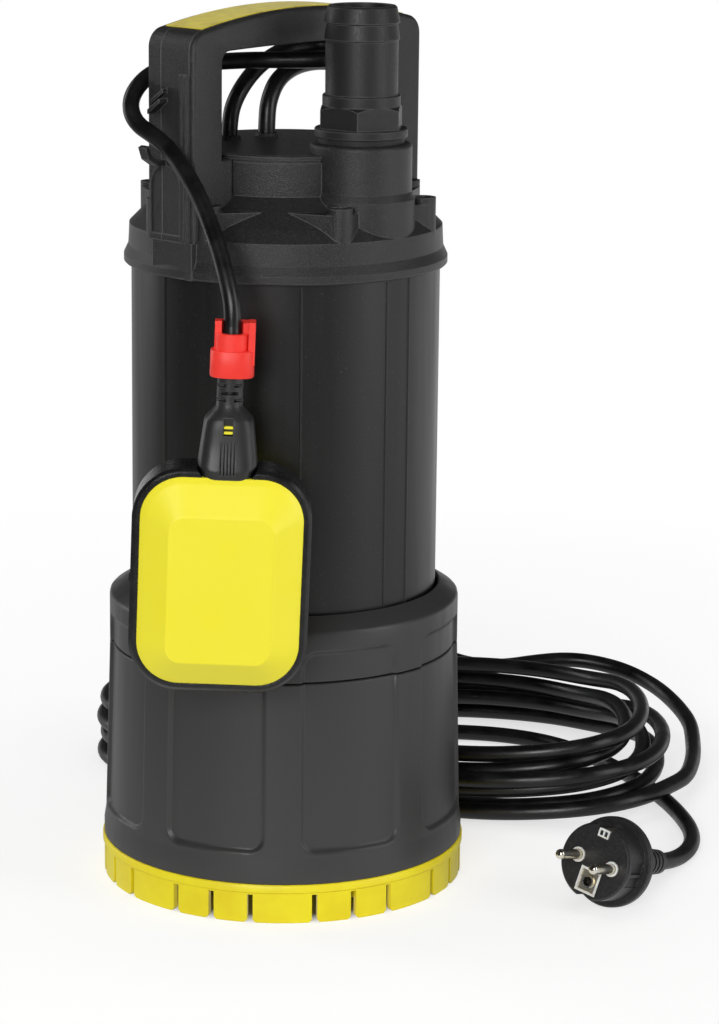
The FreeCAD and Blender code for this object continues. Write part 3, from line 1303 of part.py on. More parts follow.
def ball_race():
    """Caged tube in which the switch ball rolls, standing off the rear shell."""
    foot = BALL_REST - BALL_R
    z0, z1 = foot - RACE_FLOOR, LEVER_UNDER - 1.0
    outer = RACE_R + RACE_WALL
    tube = ring(outer, RACE_R, z0, z1)
    floor = disc(outer, z0 - RACE_WALL, foot - 0.1)
    half = RACE_WINDOW_W / 2
    post = block(-half, half, outer - 0.8, shell_depth(), z0, z0 + outer)
    window = block(-half, half, -outer - 1, 0, z0 + RACE_WINDOW_IN, z1 - RACE_WINDOW_IN)
    return placed_float(joined([tube, floor, post]).cut([window]))


def switch_ball():
    return placed_float(Part.makeSphere(BALL_R, V(0, 0, BALL_REST)))


def lever_axis_z():
    return LEVER_UNDER + LEVER_T / 2


def along_y(r, length, x, z):
    """Round bar across the float, centred on its middle."""
    return Part.makeCylinder(r, length, V(x, -length / 2, z), V(0, 1, 0))


def microswitch():
    """Switch body with the two ears and pin that carry the lever."""
    x0 = LEVER_PIVOT_X + SWITCH_STAND_OFF
    half = SWITCH_T / 2
    case = block(x0, x0 + SWITCH_W, -half, half, SWITCH_FOOT_Z, SWITCH_FOOT_Z + SWITCH_H)
    foot = block(x0 + 0.5, x0 + SWITCH_W / 2, half - 0.5, shell_depth(), -half, half)
    z = lever_axis_z()
    ear_in = (LEVER_PIN_L - 2 * EAR_T) / 2
    ear = block(LEVER_PIVOT_X - EAR_H / 2, x0 + 0.5, ear_in, ear_in + EAR_T, z - EAR_H / 2, z + EAR_H / 2)
    other_ear = shifted(ear, V(0, -2 * ear_in - EAR_T, 0))
    pin = along_y(LEVER_PIN_R, LEVER_PIN_L, LEVER_PIVOT_X, z)
    return placed_float(joined([case, foot, ear, other_ear, pin]))


def switch_lever():
    arm = block(LEVER_PIVOT_X - LEVER_REACH, LEVER_PIVOT_X, -LEVER_W / 2, LEVER_W / 2,
                LEVER_UNDER, LEVER_UNDER + LEVER_T)
    hub = along_y(LEVER_HUB_R, LEVER_W, LEVER_PIVOT_X, lever_axis_z())
    bore = along_y(LEVER_PIN_R + 0.05, 2 * LEVER_W, LEVER_PIVOT_X, lever_axis_z())
    return placed_float(joined([arm, hub]).cut([bore]))


# Cords
def polygon_section(at, along, d, sides):
    side = along.cross(UP)
    if side.Length < 0.2:
        side = along.cross(V(1, 0, 0))
    side.normalize()
    top = side.cross(along).normalize()
    start = math.pi / sides
    pts = [at + side * (d / 2 * math.cos(start + TURN * k / sides))
           + top * (d / 2 * math.sin(start + TURN * k / sides)) for k in range(sides)]
    return Part.makePolygon(pts + [pts[0]])


def cord_path(points, label):
    """Straight runs joined by tangent arcs, each as large as its two runs allow."""
    edges = []
    last = points[0]
    radii = []
    for a, p, b in zip(points, points[1:], points[2:]):
        back, on = (a - p), (b - p)
        run = min(back.Length, on.Length)
        u, w = V(back).normalize(), V(on).normalize()
        turn = math.pi - u.getAngle(w)
        cut = 0.45 * run
        radius = cut / math.tan(turn / 2)
        radii.append(radius)
        start, end = p + u * cut, p + w * cut
        bisector = (u + w).normalize()
        mid = p + bisector * (radius / math.cos(turn / 2) - radius)
        edges += [Part.LineSegment(last, start).toShape(), Part.Arc(start, mid, end).toShape()]
        last = end
    edges.append(Part.LineSegment(last, points[-1]).toShape())
    print(label, "tightest radii", [round(r) for r in sorted(radii)[:4]])
    return Part.Wire(edges)


def swept(wire, d, sides):
    first = wire.Edges[0]
    at = first.valueAt(first.FirstParameter)
    along = first.tangentAt(first.FirstParameter)
    return wire.makePipeShell([polygon_section(at, along, d, sides)], True, False)


def cord_tube(points, d, label, sides=CORD_SIDES):
    wire = cord_path(points, label)
    tube = swept(wire, d, sides)
    area = sides / 2 * math.sin(TURN / sides) * (d / 2) ** 2
    print(label, "length", round(wire.Length), "volume share", round(tube.Volume / (wire.Length * area), 3))
    return tube


def route(points, y0, z0):
    """Route points given across, from a depth y0 back and from a height z0 up."""
    return [V(x, y0 + y, z0 + z) for x, y, z in points]


def float_pivot():
    """Where the float cord leaves the handle's guide, the centre of its swing."""
    return by_handle(-HANDLE_L / 2 - PIVOT_OUT, PIVOT_BACK, DECK_Z + PIVOT_RISE)


def out_of_gland(at):
    """Gland's mouth and the end of the short upright run out of it."""
    return [V(at.x, at.y, DECK_Z + GLAND_H), V(at.x, at.y, DECK_Z + GLAND_H + CORD_STUB)]


def float_cable_upper():
    """Loop from the deck through the handle's window and out over its left end."""
    pivot = float_pivot()
    points = out_of_gland(FLOAT_EXIT) + route([
        (-25.5, 13.5, 16.5), (-18, 23.5, 28.5), (-8, 36, 36.5), (4, 47.5, 41), (19.7, 51, 41.5),
        (32, 38.7, 40.5), (32, 21.3, 39), (19.7, 9, 37.8), (2, 8, 37.5), (-15, 8, 37.5),
        (-31, -1, 37.5), (-45, -14, 37.5), (-57, -27, 37), (-66.5, -37, 32), (-71.8, -42.3, 23),
        (-69.1, -48.1, 14)], 0, DECK_Z)
    # The last run stops short of the pivot, clear of the swinging half
    toward = (pivot - points[-1]).normalize()
    points.append(pivot - toward * (FLOAT_CORD_D / 2 + JOINT_GAP))
    return cord_tube(points, FLOAT_CORD_D, "float_cable_upper")


def float_cable_lower():
    pivot = float_pivot()
    top = placed_point(V(NECK_SHIFT, 0, PIVOT_UP))
    points = [pivot] + route([(-51.8, -63.0, 3), (-45.3, -71.5, -5), (-39.5, -79, -14),
                              (-34.2, -87.2, -25), (-29, -96, -38.5), (-25.6, -102.6, -53)],
                             0, DECK_Z) + [top]
    tube = cord_tube(points, FLOAT_CORD_D, "float_cable_lower")
    balls = [Part.makeSphere(FLOAT_CORD_D / 2, p) for p in (pivot, top)]
    return joined([tube] + balls)


def placed_point(p):
    vertex = placed_float(Part.Vertex(p))
    return vertex.Point


def coil_level(q):
    """Inset in turns and height in layers of the coil after q quarter turns."""
    n = COIL_LAYER_QUARTERS
    layer = int(q // n)
    along = (q - layer * n) / 4.0
    inset = along if layer % 2 == 0 else n / 4.0 - along
    to_next = q - (layer + 1) * n
    from_last = q - layer * n
    level = float(layer)
    if to_next > -1 and (layer + 1) * n < COIL_QUARTERS:
        level += (to_next + 1) / 2
    elif from_last < 1 and layer > 0:
        level -= (1 - from_last) / 2
    return inset, level


def coil_lift(deg):
    """The pile's right end is raised one cord over the plug's lead, which runs beneath."""
    deg = (deg + 180.0) % 360.0 - 180.0
    if deg < LIFT_FROM_DEG:
        share = 1 - (LIFT_FROM_DEG - deg) / LIFT_RAMP_DEG
    elif deg > LIFT_TO_DEG:
        share = 1 - (deg - LIFT_TO_DEG) / LIFT_RAMP_DEG
    else:
        share = 1.0
    share = min(max(share, 0.0), 1.0)
    return COIL_RISE * share * share * (3 - 2 * share)


def coil_outline(t):
    """Outermost turn seen from above, an ellipse drawn out to an egg."""
    x = COIL_X + COIL_A * math.cos(t)
    y = (COIL_Y + COIL_B * math.sin(t) + COIL_EGG * math.sin(2 * t) + COIL_WAIST * math.sin(3 * t)
         + COIL_SLOPE * math.cos(t) + COIL_BOW * math.cos(2 * t))
    return V(x, y, 0)


def coil_point(q):
    inset, level = coil_level(q)
    deg = COIL_START_DEG - 90.0 * q
    t = math.radians(deg)
    step = 0.001
    along = (coil_outline(t + step) - coil_outline(t - step)).normalize()
    inward = UP.cross(along)
    spread = 1 + (COIL_SPREAD - 1) * math.cos(t) ** 2
    p = coil_outline(t) + inward * (COIL_PITCH * inset * spread)
    fan = COIL_FAN * level * (1 + math.cos(t)) / 2
    return p + V(-fan, 0, MAINS_D / 2 + COIL_RISE * level + coil_lift(deg))


def coil_tangent(q):
    step = 0.02
    low, high = max(q - step, 0), min(q + step, COIL_QUARTERS)
    return (coil_point(high) - coil_point(low)).normalize()


def arc_from(a, tangent, b):
    """Arc that leaves a along a tangent and ends at b."""
    chord = b - a
    half = tangent.getAngle(chord) / 2
    unit = V(chord).normalize()
    side = (tangent - unit * tangent.dot(unit)).normalize()
    mid = a + chord * 0.5 + side * (chord.Length / 2 * math.tan(half))
    return Part.Arc(a, mid, b).toShape()


def biarc(p0, t0, p1, t1):
    """Two arcs that join two points along two given tangents."""
    v = p1 - p0
    t = t0 + t1
    c = 2 * (1 - t0.dot(t1))
    d = (-v.dot(t) + math.sqrt(v.dot(t) ** 2 + c * v.dot(v))) / c
    joint = (p0 + p1 + (t0 - t1) * d) * 0.5
    return [arc_from(p0, t0, joint), arc_from(p1, t1 * -1, joint)]


def coil_path():
    edges = []
    start, end = coil_point(0), coil_point(COIL_QUARTERS)
    edges.append(Part.makeLine(start - coil_tangent(0) * MAINS_D, start))
    for i in range(COIL_QUARTERS * COIL_ARCS_PER_QUARTER):
        q0, q1 = i / COIL_ARCS_PER_QUARTER, (i + 1) / COIL_ARCS_PER_QUARTER
        edges += biarc(coil_point(q0), coil_tangent(q0), coil_point(q1), coil_tangent(q1))
    edges.append(Part.makeLine(end, end + coil_tangent(COIL_QUARTERS) * MAINS_D))
    return Part.Wire(edges)


def coil_gap():
    """Least space between turns of the coil, measured on points along it."""
    per = 24
    points = [coil_point(i / per) for i in range(COIL_QUARTERS * per + 1)]
    least = 1e9
    for i, p in enumerate(points):
        for j in range(i + 2 * per, len(points)):
            least = min(least, (p - points[j]).Length)
    return least - MAINS_D


def mains_coil():
    wire = coil_path()
    tube = swept(wire, MAINS_D, COIL_SIDES)
    area = COIL_SIDES / 2 * math.sin(TURN / COIL_SIDES) * (MAINS_D / 2) ** 2
    print("mains_coil length", round(wire.Length), "own gap", round(coil_gap(), 2),
          "volume share", round(tube.Volume / (wire.Length * area), 3))
    return tube


def mains_cable():
    """Down behind the housing, over the far side of the coil and round its right end."""
    start = coil_point(0) - coil_tangent(0) * MAINS_D
    points = out_of_gland(MAINS_EXIT)
    points += route([(-8.8, 26.5, 16.5), (-4, 34, 27), (7, 48, 32.5), (23, 64, 32), (39, 80, 22)], 0, DECK_Z)
    points += route([(48, 5.5, -3), (51, 11.5, -38), (52, 13.5, -81), (52, 14.5, -131),
                     (50, 15.5, -176)], BASE_R, DECK_Z)
    points += route([(48, 19.5, 128), (45, 31.5, 87), (44, 56.5, 62), (46, 90.5, 52), (50, 122.5, 49.5),
                     (56, 148.5, 47), (68, 169.5, 42), (85, 177.5, 34), (104, 175.5, 27),
                     (124, 169.5, 27.5), (143, 171.5, 30), (160, 173.5, 31), (176, 171.5, 30),
                     (194, 164.5, 27), (209, 146.5, 23), (218, 125.5, 19), (223, 100.5, 16),
                     (222, 77.5, 13.5), (217.5, 50.5, 12.5)], BASE_R, 0)
    points += [start - coil_tangent(0) * 2 * MAINS_D, start]
    return cord_tube(points, MAINS_D, "mains_cable")


def plug_lead():
    """From the top of the coil down into its opening, under its right end, to the plug."""
    on_floor = MAINS_D / 2
    points = [coil_point(COIL_QUARTERS) + coil_tangent(COIL_QUARTERS) * MAINS_D]
    points += route([(-80, 140.5, 33.5), (-63, 150.5, 38.5), (-41, 149.5, 39.5), (-19, 141.5, 37),
                     (2, 131.5, 28.5), (22, 126.5, 17), (43, 123.5, 8)], BASE_R, 0)
    points += route([(68, 121.5, 0), (95, 119.5, 0), (121, 114.5, 0), (145, 101.5, 0), (166, 77.5, 0),
                     (183, 45.5, 0), (196, 10.5, 0), (204, -23.5, 0), (207, -53.5, 0), (203, -78.5, 0)],
                    BASE_R, on_floor)
    points += [plug_point(V(0, 0, RELIEF_END_Z + 2 * MAINS_D)), plug_point(V(0, 0, RELIEF_END_Z))]
    return cord_tube(points, MAINS_D, "plug_lead")


# Plug
def plug_frame():
    heading, dip = math.radians(PLUG_HEADING), math.radians(PLUG_DIP)
    back = V(math.cos(heading) * math.cos(dip), math.sin(heading) * math.cos(dip), -math.sin(dip))
    side = UP.cross(back).normalize()
    top = back.cross(side)
    rim = V(PLUG_X, PLUG_Y, PLUG_RIM_R * math.cos(dip))
    face = rim - back * (PLUG_RIM_Z + PLUG_RIM_T / 2)
    return FreeCAD.Placement(FreeCAD.Matrix(side.x, top.x, back.x, face.x, side.y, top.y, back.y, face.y,
                                            side.z, top.z, back.z, face.z, 0, 0, 0, 1))


def plug_point(p):
    return plug_frame().multVec(p)


def placed_plug(shape):
    copy = spun(shape, PLUG_ROLL)
    copy.Placement = plug_frame().multiply(copy.Placement)
    return copy


def pin_places():
    return [V(s * PIN_SPACING / 2, 0, 0) for s in (-1, 1)]


def plug_insert():
    """Pale collars round the pins and the frame round the earth socket."""
    collars = [ring(PIN_R + PIN_COLLAR, PIN_R, -0.4, INSERT_DEPTH, p.x, p.y) for p in pin_places()]
    frame = earth_frame(-0.3).cut([disc(EARTH_R + EARTH_SLEEVE, -1, EARTH_DEPTH, 0, -EARTH_UP)])
    return placed_plug(Part.makeCompound(collars + [frame]))


def earth_frame(z):
    """Upright block round the earth socket, from a height z into the plug's face."""
    half = EARTH_FRAME_W / 2
    foot = -EARTH_UP - 5.0
    return block(-half, half, foot, foot + EARTH_FRAME_H, z, INSERT_DEPTH)


def plug_pins():
    pins = []
    for p in pin_places():
        pin = disc(PIN_R, -PIN_L, PIN_ROOT, p.x, p.y)
        tip = [e for e in pin.Edges if e.BoundBox.ZLength < 1e-6 and e.BoundBox.ZMin < -PIN_L + 1e-6]
        pins.append(pin.makeFillet(PIN_TIP, tip))
    return placed_plug(Part.makeCompound(pins))


def contact_strips():
    """Sprung earth contacts lying in the plug's two side slots."""
    half = CONTACT_W / 2 - 1
    y = PLUG_FACE_R - CONTACT_IN
    strip = block(-half, half, y - CONTACT_T, y, 0.6, PLUG_RIM_Z - 1.0)
    return around(strip, (0, 180))


def plug_contacts():
    sleeve = ring(EARTH_R + EARTH_SLEEVE, EARTH_R, -0.2, EARTH_DEPTH, 0, -EARTH_UP)
    return placed_plug(Part.makeCompound(contact_strips() + [sleeve]))


def plug_body():
    """One moulding: round face with side slots, rim, tapered back and ribbed strain relief."""
    rim_top = PLUG_RIM_Z + PLUG_RIM_T
    body = turned([(0, 0), (PLUG_FACE_R - 0.8, 0), (PLUG_FACE_R, 0.8), (PLUG_FACE_R, PLUG_RIM_Z),
                   (PLUG_RIM_R - 0.6, PLUG_RIM_Z), (PLUG_RIM_R, PLUG_RIM_Z + 0.6),
                   (PLUG_RIM_R, rim_top - 0.6), (PLUG_RIM_R - 0.6, rim_top), (PLUG_FACE_R, rim_top),
                   (PLUG_FACE_R - 2.5, rim_top + 8), (PLUG_NECK_R + 1.5, PLUG_NECK_Z - 2),
                   (PLUG_NECK_R, PLUG_NECK_Z), (RELIEF_R, PLUG_NECK_Z), (RELIEF_END_R, RELIEF_END_Z),
                   (0, RELIEF_END_Z)])
    half = CONTACT_W / 2
    slot = block(-half, half, PLUG_FACE_R - CONTACT_IN, PLUG_FACE_R + 2, -1, PLUG_RIM_Z - 1.0)
    cuts = around(slot, (0, 180)) + contact_strips()
    cuts += [disc(PIN_R + PIN_COLLAR, -1, INSERT_DEPTH, p.x, p.y) for p in pin_places()]
    cuts += [disc(PIN_R, -1, PIN_ROOT, p.x, p.y) for p in pin_places()]
    cuts += [earth_frame(-1), disc(EARTH_R + EARTH_SLEEVE, -1, EARTH_DEPTH, 0, -EARTH_UP)]
    for y in KEY_PLACES:
        key = block(PLUG_FACE_R - KEY_DEPTH, PLUG_FACE_R + 1, y - KEY_W / 2, y + KEY_W / 2,
                    3.0, PLUG_RIM_Z - 0.8)
        cuts += around(key, (0, 180))
    step = RELIEF_L / (RELIEF_RIBS + 1)
    for k in range(RELIEF_RIBS):
        z = PLUG_NECK_Z + step * (k + 0.6)
        cuts.append(ring(RELIEF_R + 1, RELIEF_END_R - 1.0, z, z + step * 0.4))
    return placed_plug(body.cut(cuts))


def export(name, shape):
    shape.exportStep(os.path.join("parts", name + ".step"))
    boxed = shape.BoundBox
    count = len(shape.Solids)
    print(f"{name:24s} solids {count:2d} valid {shape.isValid()} "
          f"{boxed.XLength:.0f} x {boxed.YLength:.0f} x {boxed.ZLength:.0f}")


def main():
    os.makedirs("parts", exist_ok=True)
    handle_cuts = handle_screw_cuts()
    export("strainer_base", strainer_base())
    export("base_screws", base_screws())
    export("lower_shroud", lower_shroud())
    export("shroud_collar", shroud_collar())
    export("suction_cover", suction_cover())
    export("stage_casing", stage_casing())
    export("casing_screws", casing_screws())
    export("impellers", impellers())
    export("diffusers", diffusers())
    export("impeller_nut", impeller_nut())
    export("seal_seat", seal_seat())
    export("rotating_seal", rotating_seal())
    export("shaft_sleeves", shaft_sleeves())
    export("motor_flange", motor_flange())
    export("lower_bearing_outer", bearing_outer(LOWER_BEARING_Z))
    export("lower_bearing_inner", bearing_inner(LOWER_BEARING_Z))
    export("upper_bearing_outer", bearing_outer(UPPER_BEARING_Z))
    export("upper_bearing_inner", bearing_inner(UPPER_BEARING_Z))
    export("motor_can", motor_can())
    export("motor_top_cap", motor_top_cap())
    export("stator_core", stator_core())
    export("stator_windings", stator_windings())
    export("shaft", shaft())
    export("rotor_core", rotor_core())
    export("capacitor", capacitor())
    export("body_jacket", body_jacket())
    export("jacket_seal", jacket_seal())
    export("head_cover", head_cover())
    export("head_screws", head_screws())
    export("deck_lid", deck_lid())
    export("float_gland", gland(FLOAT_EXIT))
    export("mains_gland", gland(MAINS_EXIT))
    export("hose_tail", hose_tail())
    export("outlet_o_ring", outlet_o_ring())
    export("handle_core", handle_core().cut(handle_cuts))
    export("handle_front_shell", handle_front_shell().cut(handle_cuts))
    export("handle_rear_shell", handle_rear_shell().cut(handle_cuts))
    export("grip_insert", grip_insert())
    export("handle_screws", handle_screws())
    export("float_front_shell", float_front_shell())
    export("float_rear_shell", float_rear_shell())
    export("float_frame", float_frame())
    export("float_neck", float_neck())
    export("neck_catches", neck_catches())
    export("cable_clip", cable_clip())
    export("ball_race", ball_race())
    export("switch_ball", switch_ball())
    export("microswitch", microswitch())
    export("switch_lever", switch_lever())
    export("float_cable_upper", float_cable_upper())
    export("float_cable_lower", float_cable_lower())
    export("mains_cable", mains_cable())
    export("mains_coil", mains_coil())
    export("plug_lead", plug_lead())
    export("plug_body", plug_body())
    export("plug_insert", plug_insert())
    export("plug_pins", plug_pins())
    export("plug_contacts", plug_contacts())


main()
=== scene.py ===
"""Submersible sump pump with a float switch and a coiled mains lead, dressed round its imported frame.

Everything is in metres, +Z up, in the frame's own axes. The pump stands on the floor at the
origin with its float to the front, and its lead lies coiled behind it.
"""
import math

import bmesh
import bpy
from mathutils import Matrix, Vector


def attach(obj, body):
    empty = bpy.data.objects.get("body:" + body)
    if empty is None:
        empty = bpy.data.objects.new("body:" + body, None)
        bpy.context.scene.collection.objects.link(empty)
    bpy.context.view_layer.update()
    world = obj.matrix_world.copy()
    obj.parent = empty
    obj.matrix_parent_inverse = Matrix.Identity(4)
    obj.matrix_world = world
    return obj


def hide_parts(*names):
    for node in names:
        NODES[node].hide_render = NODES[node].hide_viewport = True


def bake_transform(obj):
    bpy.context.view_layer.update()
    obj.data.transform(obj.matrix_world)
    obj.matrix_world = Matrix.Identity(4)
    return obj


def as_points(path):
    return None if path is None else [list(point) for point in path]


bl_info = {
    "name": "Submersible sump pump",
    "version": (1, 0, 0),
    "blender": (4, 5, 0),
    "location": "3D View > Sidebar > Sump pump",
    "description": "Finishes, cords, plug and studio of a submersible sump pump",
    "category": "Object",
}

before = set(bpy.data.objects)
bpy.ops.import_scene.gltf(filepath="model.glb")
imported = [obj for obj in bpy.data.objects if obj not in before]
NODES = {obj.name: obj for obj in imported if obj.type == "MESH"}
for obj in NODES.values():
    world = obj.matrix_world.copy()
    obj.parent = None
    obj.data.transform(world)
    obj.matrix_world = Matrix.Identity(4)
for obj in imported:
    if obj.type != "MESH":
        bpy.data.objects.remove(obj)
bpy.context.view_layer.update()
MM = 0.001

# Diameters of the two cords, in millimetres
MAINS_D, FLOAT_D = 8.3, 7.8


# Colours and nodes
def from_hex(text):
    """Linear colour, with alpha 1, from an sRGB hex value."""
    def channel(pair):
        c = int(pair, 16) / 255
        return c / 12.92 if c <= 0.04045 else ((c + 0.055) / 1.055) ** 2.4

    return tuple(channel(text[i:i + 2]) for i in (1, 3, 5)) + (1.0,)


def add(tree, kind, inputs=None, take=None, **settings):
    """Add a node with its settings, input values and links, and give the output that take names or
    else its first one in use. An input (output, low, high, to_low, to_high) follows that output
    from one range to the other."""
    node = tree.nodes.new("ShaderNode" + kind)
    for key, value in settings.items():
        setattr(node, key, value)
    for key, value in (inputs or {}).items():
        if isinstance(value, tuple) and isinstance(value[0], bpy.types.NodeSocket):
            names = ("Value", "From Min", "From Max", "To Min", "To Max")
            value = add(tree, "MapRange", dict(zip(names, value)))
        if isinstance(value, bpy.types.NodeSocket):
            tree.links.new(value, node.inputs[key])
        else:
            node.inputs[key].default_value = value
    return node.outputs[take] if take else next((out for out in node.outputs if out.enabled), None)


def new_material(name):
    """Empty material, its nodes and the place on the piece in its own metres, so that a pattern
    moves with the piece."""
    material = bpy.data.materials.new(name)
    material.use_nodes = True
    tree = material.node_tree
    tree.nodes.clear()
    return material, tree, add(tree, "TexCoord", take="Object")


def grain(tree, place, size_mm, detail=2.0, along=None):
    """Noise whose features are about size_mm across, or longer along an axis that is scaled down."""
    if along:
        place = add(tree, "Mapping", {"Vector": place, "Scale": along})
    return add(tree, "TexNoise", {"Vector": place, "Scale": 1 / (size_mm * MM), "Detail": detail,
                                  "Roughness": 0.6})


def toned(tree, marks, start, end, colour, other, share=1.0):
    """Colour that turns into a share of the other one as the marks go from start to end."""
    return add(tree, "Mix", {"Factor": (marks, start, end, 0.0, share), "A": colour, "B": other},
               data_type="RGBA")


def painted_edge_highlight(tree, colour, highlight_colour, radius_mm, share):
    """Painted highlight: colour that pales along the moulding's outer edges, standing in for the light they
    catch.
    """
    rounded = add(tree, "Bevel", {"Radius": radius_mm * MM}, samples=6)
    flat = add(tree, "NewGeometry", take="Normal")
    same = add(tree, "VectorMath", {0: rounded, 1: flat}, operation="DOT_PRODUCT")
    return toned(tree, same, 0.99, 0.86, colour, highlight_colour, share)


def relief(tree, height, depth_mm, edge_mm=0.0):
    """Normal of a skin with that relief, whose moulded edges are rounded by a small radius."""
    inputs = {"Height": height, "Distance": depth_mm * MM}
    if edge_mm:
        inputs["Normal"] = add(tree, "Bevel", {"Radius": edge_mm * MM}, samples=4)
    return add(tree, "Bump", inputs)


def shade(material, inputs):
    tree = material.node_tree
    add(tree, "OutputMaterial", {"Surface": add(tree, "BsdfPrincipled", inputs)})
    return material


# Materials
def spark_textured_polypropylene(name, colour, fleck, depth_mm=0.24, grain_mm=0.55, rough=0.42):
    """Glass-filled polypropylene from a spark-eroded mould: a pebbled grain whose tops carry fine pale
    flecks, painted glints for the light they catch, drawn at twice the real pitch so that they show."""
    material, tree, place = new_material(name)
    pebbles = grain(tree, place, grain_mm, 1.5)
    # Pale flecks on the grain's tops: painted glints
    tone = toned(tree, pebbles, 0.5, 0.76, colour, fleck)
    worn = toned(tree, grain(tree, place, 30.0), 0.35, 0.7, tone, fleck, 0.12)
    # Pale edges: painted highlight
    return shade(material, {"Base Color": painted_edge_highlight(tree, worn, from_hex("#7C7C7E"), 0.9, 0.45),
                            "Roughness": (pebbles, 0.35, 0.7, rough - 0.08, rough + 0.12), "IOR": 1.49,
                            "Normal": relief(tree, pebbles, depth_mm, 0.8)})


def satin_polypropylene(name, colour, fleck):
    """Polypropylene from a stoned mould: nearly smooth, with faint upright flow marks and a few fine
    pale flecks, so it gives long soft highlights; its edges carry a painted highlight."""
    material, tree, place = new_material(name)
    tone = toned(tree, grain(tree, place, 0.7, 1.0), 0.69, 0.8, colour, fleck)
    flow = grain(tree, place, 9.0, along=(1, 1, 0.06))
    peel = grain(tree, place, 2.2, 1.0)
    # Pale edges: painted highlight
    return shade(material, {"Base Color": painted_edge_highlight(tree, tone, from_hex("#707173"), 0.8, 0.4),
                            "Roughness": (flow, 0.3, 0.75, 0.34, 0.46), "IOR": 1.49,
                            "Normal": relief(tree, peel, 0.012, 0.8)})


def polished_polypropylene(name, colour, haze):
    """Polypropylene from a polished mould: deep black, with a clear highlight and a slight haze."""
    material, tree, place = new_material(name)
    marks = grain(tree, place, 7.0)
    ripple = grain(tree, place, 3.5, 1.0)
    return shade(material, {"Base Color": toned(tree, marks, 0.35, 0.8, colour, haze),
                            "Roughness": (marks, 0.3, 0.75, 0.22, 0.34), "IOR": 1.49,
                            "Normal": relief(tree, ripple, 0.02, 1.2)})


def coloured_polypropylene(name, colour, shadow, rough=0.42):
    """Pigmented polypropylene, moulded satin: even colour with slightly deeper tone where the
    pigment flowed, and a light orange-peel."""
    material, tree, place = new_material(name)
    tone = toned(tree, grain(tree, place, 22.0, 3.0), 0.3, 0.6, shadow, colour)
    peel = grain(tree, place, 1.4)
    return shade(material, {"Base Color": tone, "Roughness": (peel, 0.3, 0.7, rough - 0.05, rough + 0.07),
                            "IOR": 1.49, "Normal": relief(tree, peel, 0.014, 0.5)})


def blow_moulded_shell(name, colour, shadow):
    """Bright polypropylene float shell from a polished mould: gloss with a very slight ripple."""
    material, tree, place = new_material(name)
    ripple = grain(tree, place, 22.0, 1.0)
    return shade(material, {"Base Color": toned(tree, ripple, 0.1, 0.5, shadow, colour),
                            "Roughness": (ripple, 0.3, 0.7, 0.3, 0.38), "IOR": 1.49,
                            "Normal": relief(tree, ripple, 0.05, 0.8)})


def grip_elastomer(name, colour, shadow):
    """Thermoplastic elastomer, overmoulded matt: soft, dry sheen and darker where hands rub it."""
    material, tree, place = new_material(name)
    rub = grain(tree, place, 9.0)
    pores = grain(tree, place, 0.5, 1.0)
    return shade(material, {"Base Color": toned(tree, rub, 0.3, 0.6, shadow, colour), "Roughness": 0.6,
                            "Sheen Weight": 0.15, "Sheen Roughness": 0.5, "IOR": 1.5,
                            "Normal": relief(tree, pores, 0.02, 0.6)})


def cable_sheath(name, colour, bloom_colour):
    """Extruded chloroprene rubber: dense black and finely rough, with a dry grey bloom in patches."""
    material, tree, place = new_material(name)
    bloom = grain(tree, place, 11.0, 4.0)
    return shade(material, {"Base Color": toned(tree, bloom, 0.42, 0.75, colour, bloom_colour),
                            "Roughness": (bloom, 0.3, 0.7, 0.26, 0.44), "IOR": 1.52,
                            "Normal": relief(tree, grain(tree, place, 0.9), 0.02)})


def moulded_rubber(name, colour, fleck, rough=0.62):
    """Compression-moulded black rubber: dull or softly polished by its mould, a little mottled."""
    material, tree, place = new_material(name)
    mottle = grain(tree, place, 1.1)
    return shade(material, {"Base Color": toned(tree, mottle, 0.4, 0.8, colour, fleck), "Roughness": rough,
                            "IOR": 1.52, "Normal": relief(tree, mottle, 0.03, 0.4)})


def turned_steel(name, colour, rough, line_mm=0.25):
    """Steel finished on a lathe or grinder: bright, with fine rings that break up the gloss."""
    material, tree, place = new_material(name)
    rings = grain(tree, place, line_mm, along=(0.1, 0.1, 1))
    return shade(material, {"Base Color": colour, "Metallic": 1.0, "Normal": relief(tree, rings, 0.006),
                            "Roughness": (rings, 0.3, 0.7, rough - 0.06, rough + 0.08)})


def nickel_plated_brass(name, colour, warm, rough=0.16):
    """Brass with a thin bright nickel plate: mirror-like, warmer where the plate is thin."""
    material, tree, place = new_material(name)
    thin = grain(tree, place, 6.0)
    return shade(material, {"Base Color": toned(tree, thin, 0.35, 0.75, colour, warm), "Metallic": 1.0,
                            "Roughness": (thin, 0.3, 0.7, rough, rough + 0.12)})


def stacked_laminations(name, colour, gap_colour, sheet_mm=1.0):
    """Varnished electrical steel sheets in a stack: fine level lines, drawn at twice the real
    half millimetre so that they show."""
    material, tree, place = new_material(name)
    height = add(tree, "SeparateXYZ", {"Vector": place}, take="Z")
    saw = add(tree, "Math", {0: height, 1: sheet_mm * MM}, operation="PINGPONG")
    edge = add(tree, "MapRange", {"Value": saw, "From Max": 0.25 * sheet_mm * MM})
    return shade(material, {"Base Color": toned(tree, edge, 0.0, 0.6, gap_colour, colour), "Metallic": 0.9,
                            "Roughness": 0.42, "Normal": relief(tree, edge, 0.05)})


def enamelled_winding(name, colour, shadow):
    """Bundled copper wire under clear enamel: strands round the bundle with dark gaps."""
    material, tree, place = new_material(name)
    strands = grain(tree, place, 1.0, 1.0, along=(0.15, 0.15, 1))
    return shade(material, {"Base Color": toned(tree, strands, 0.35, 0.6, shadow, colour), "Metallic": 0.8,
                            "Roughness": 0.34, "Coat Weight": 0.4, "Normal": relief(tree, strands, 0.25)})


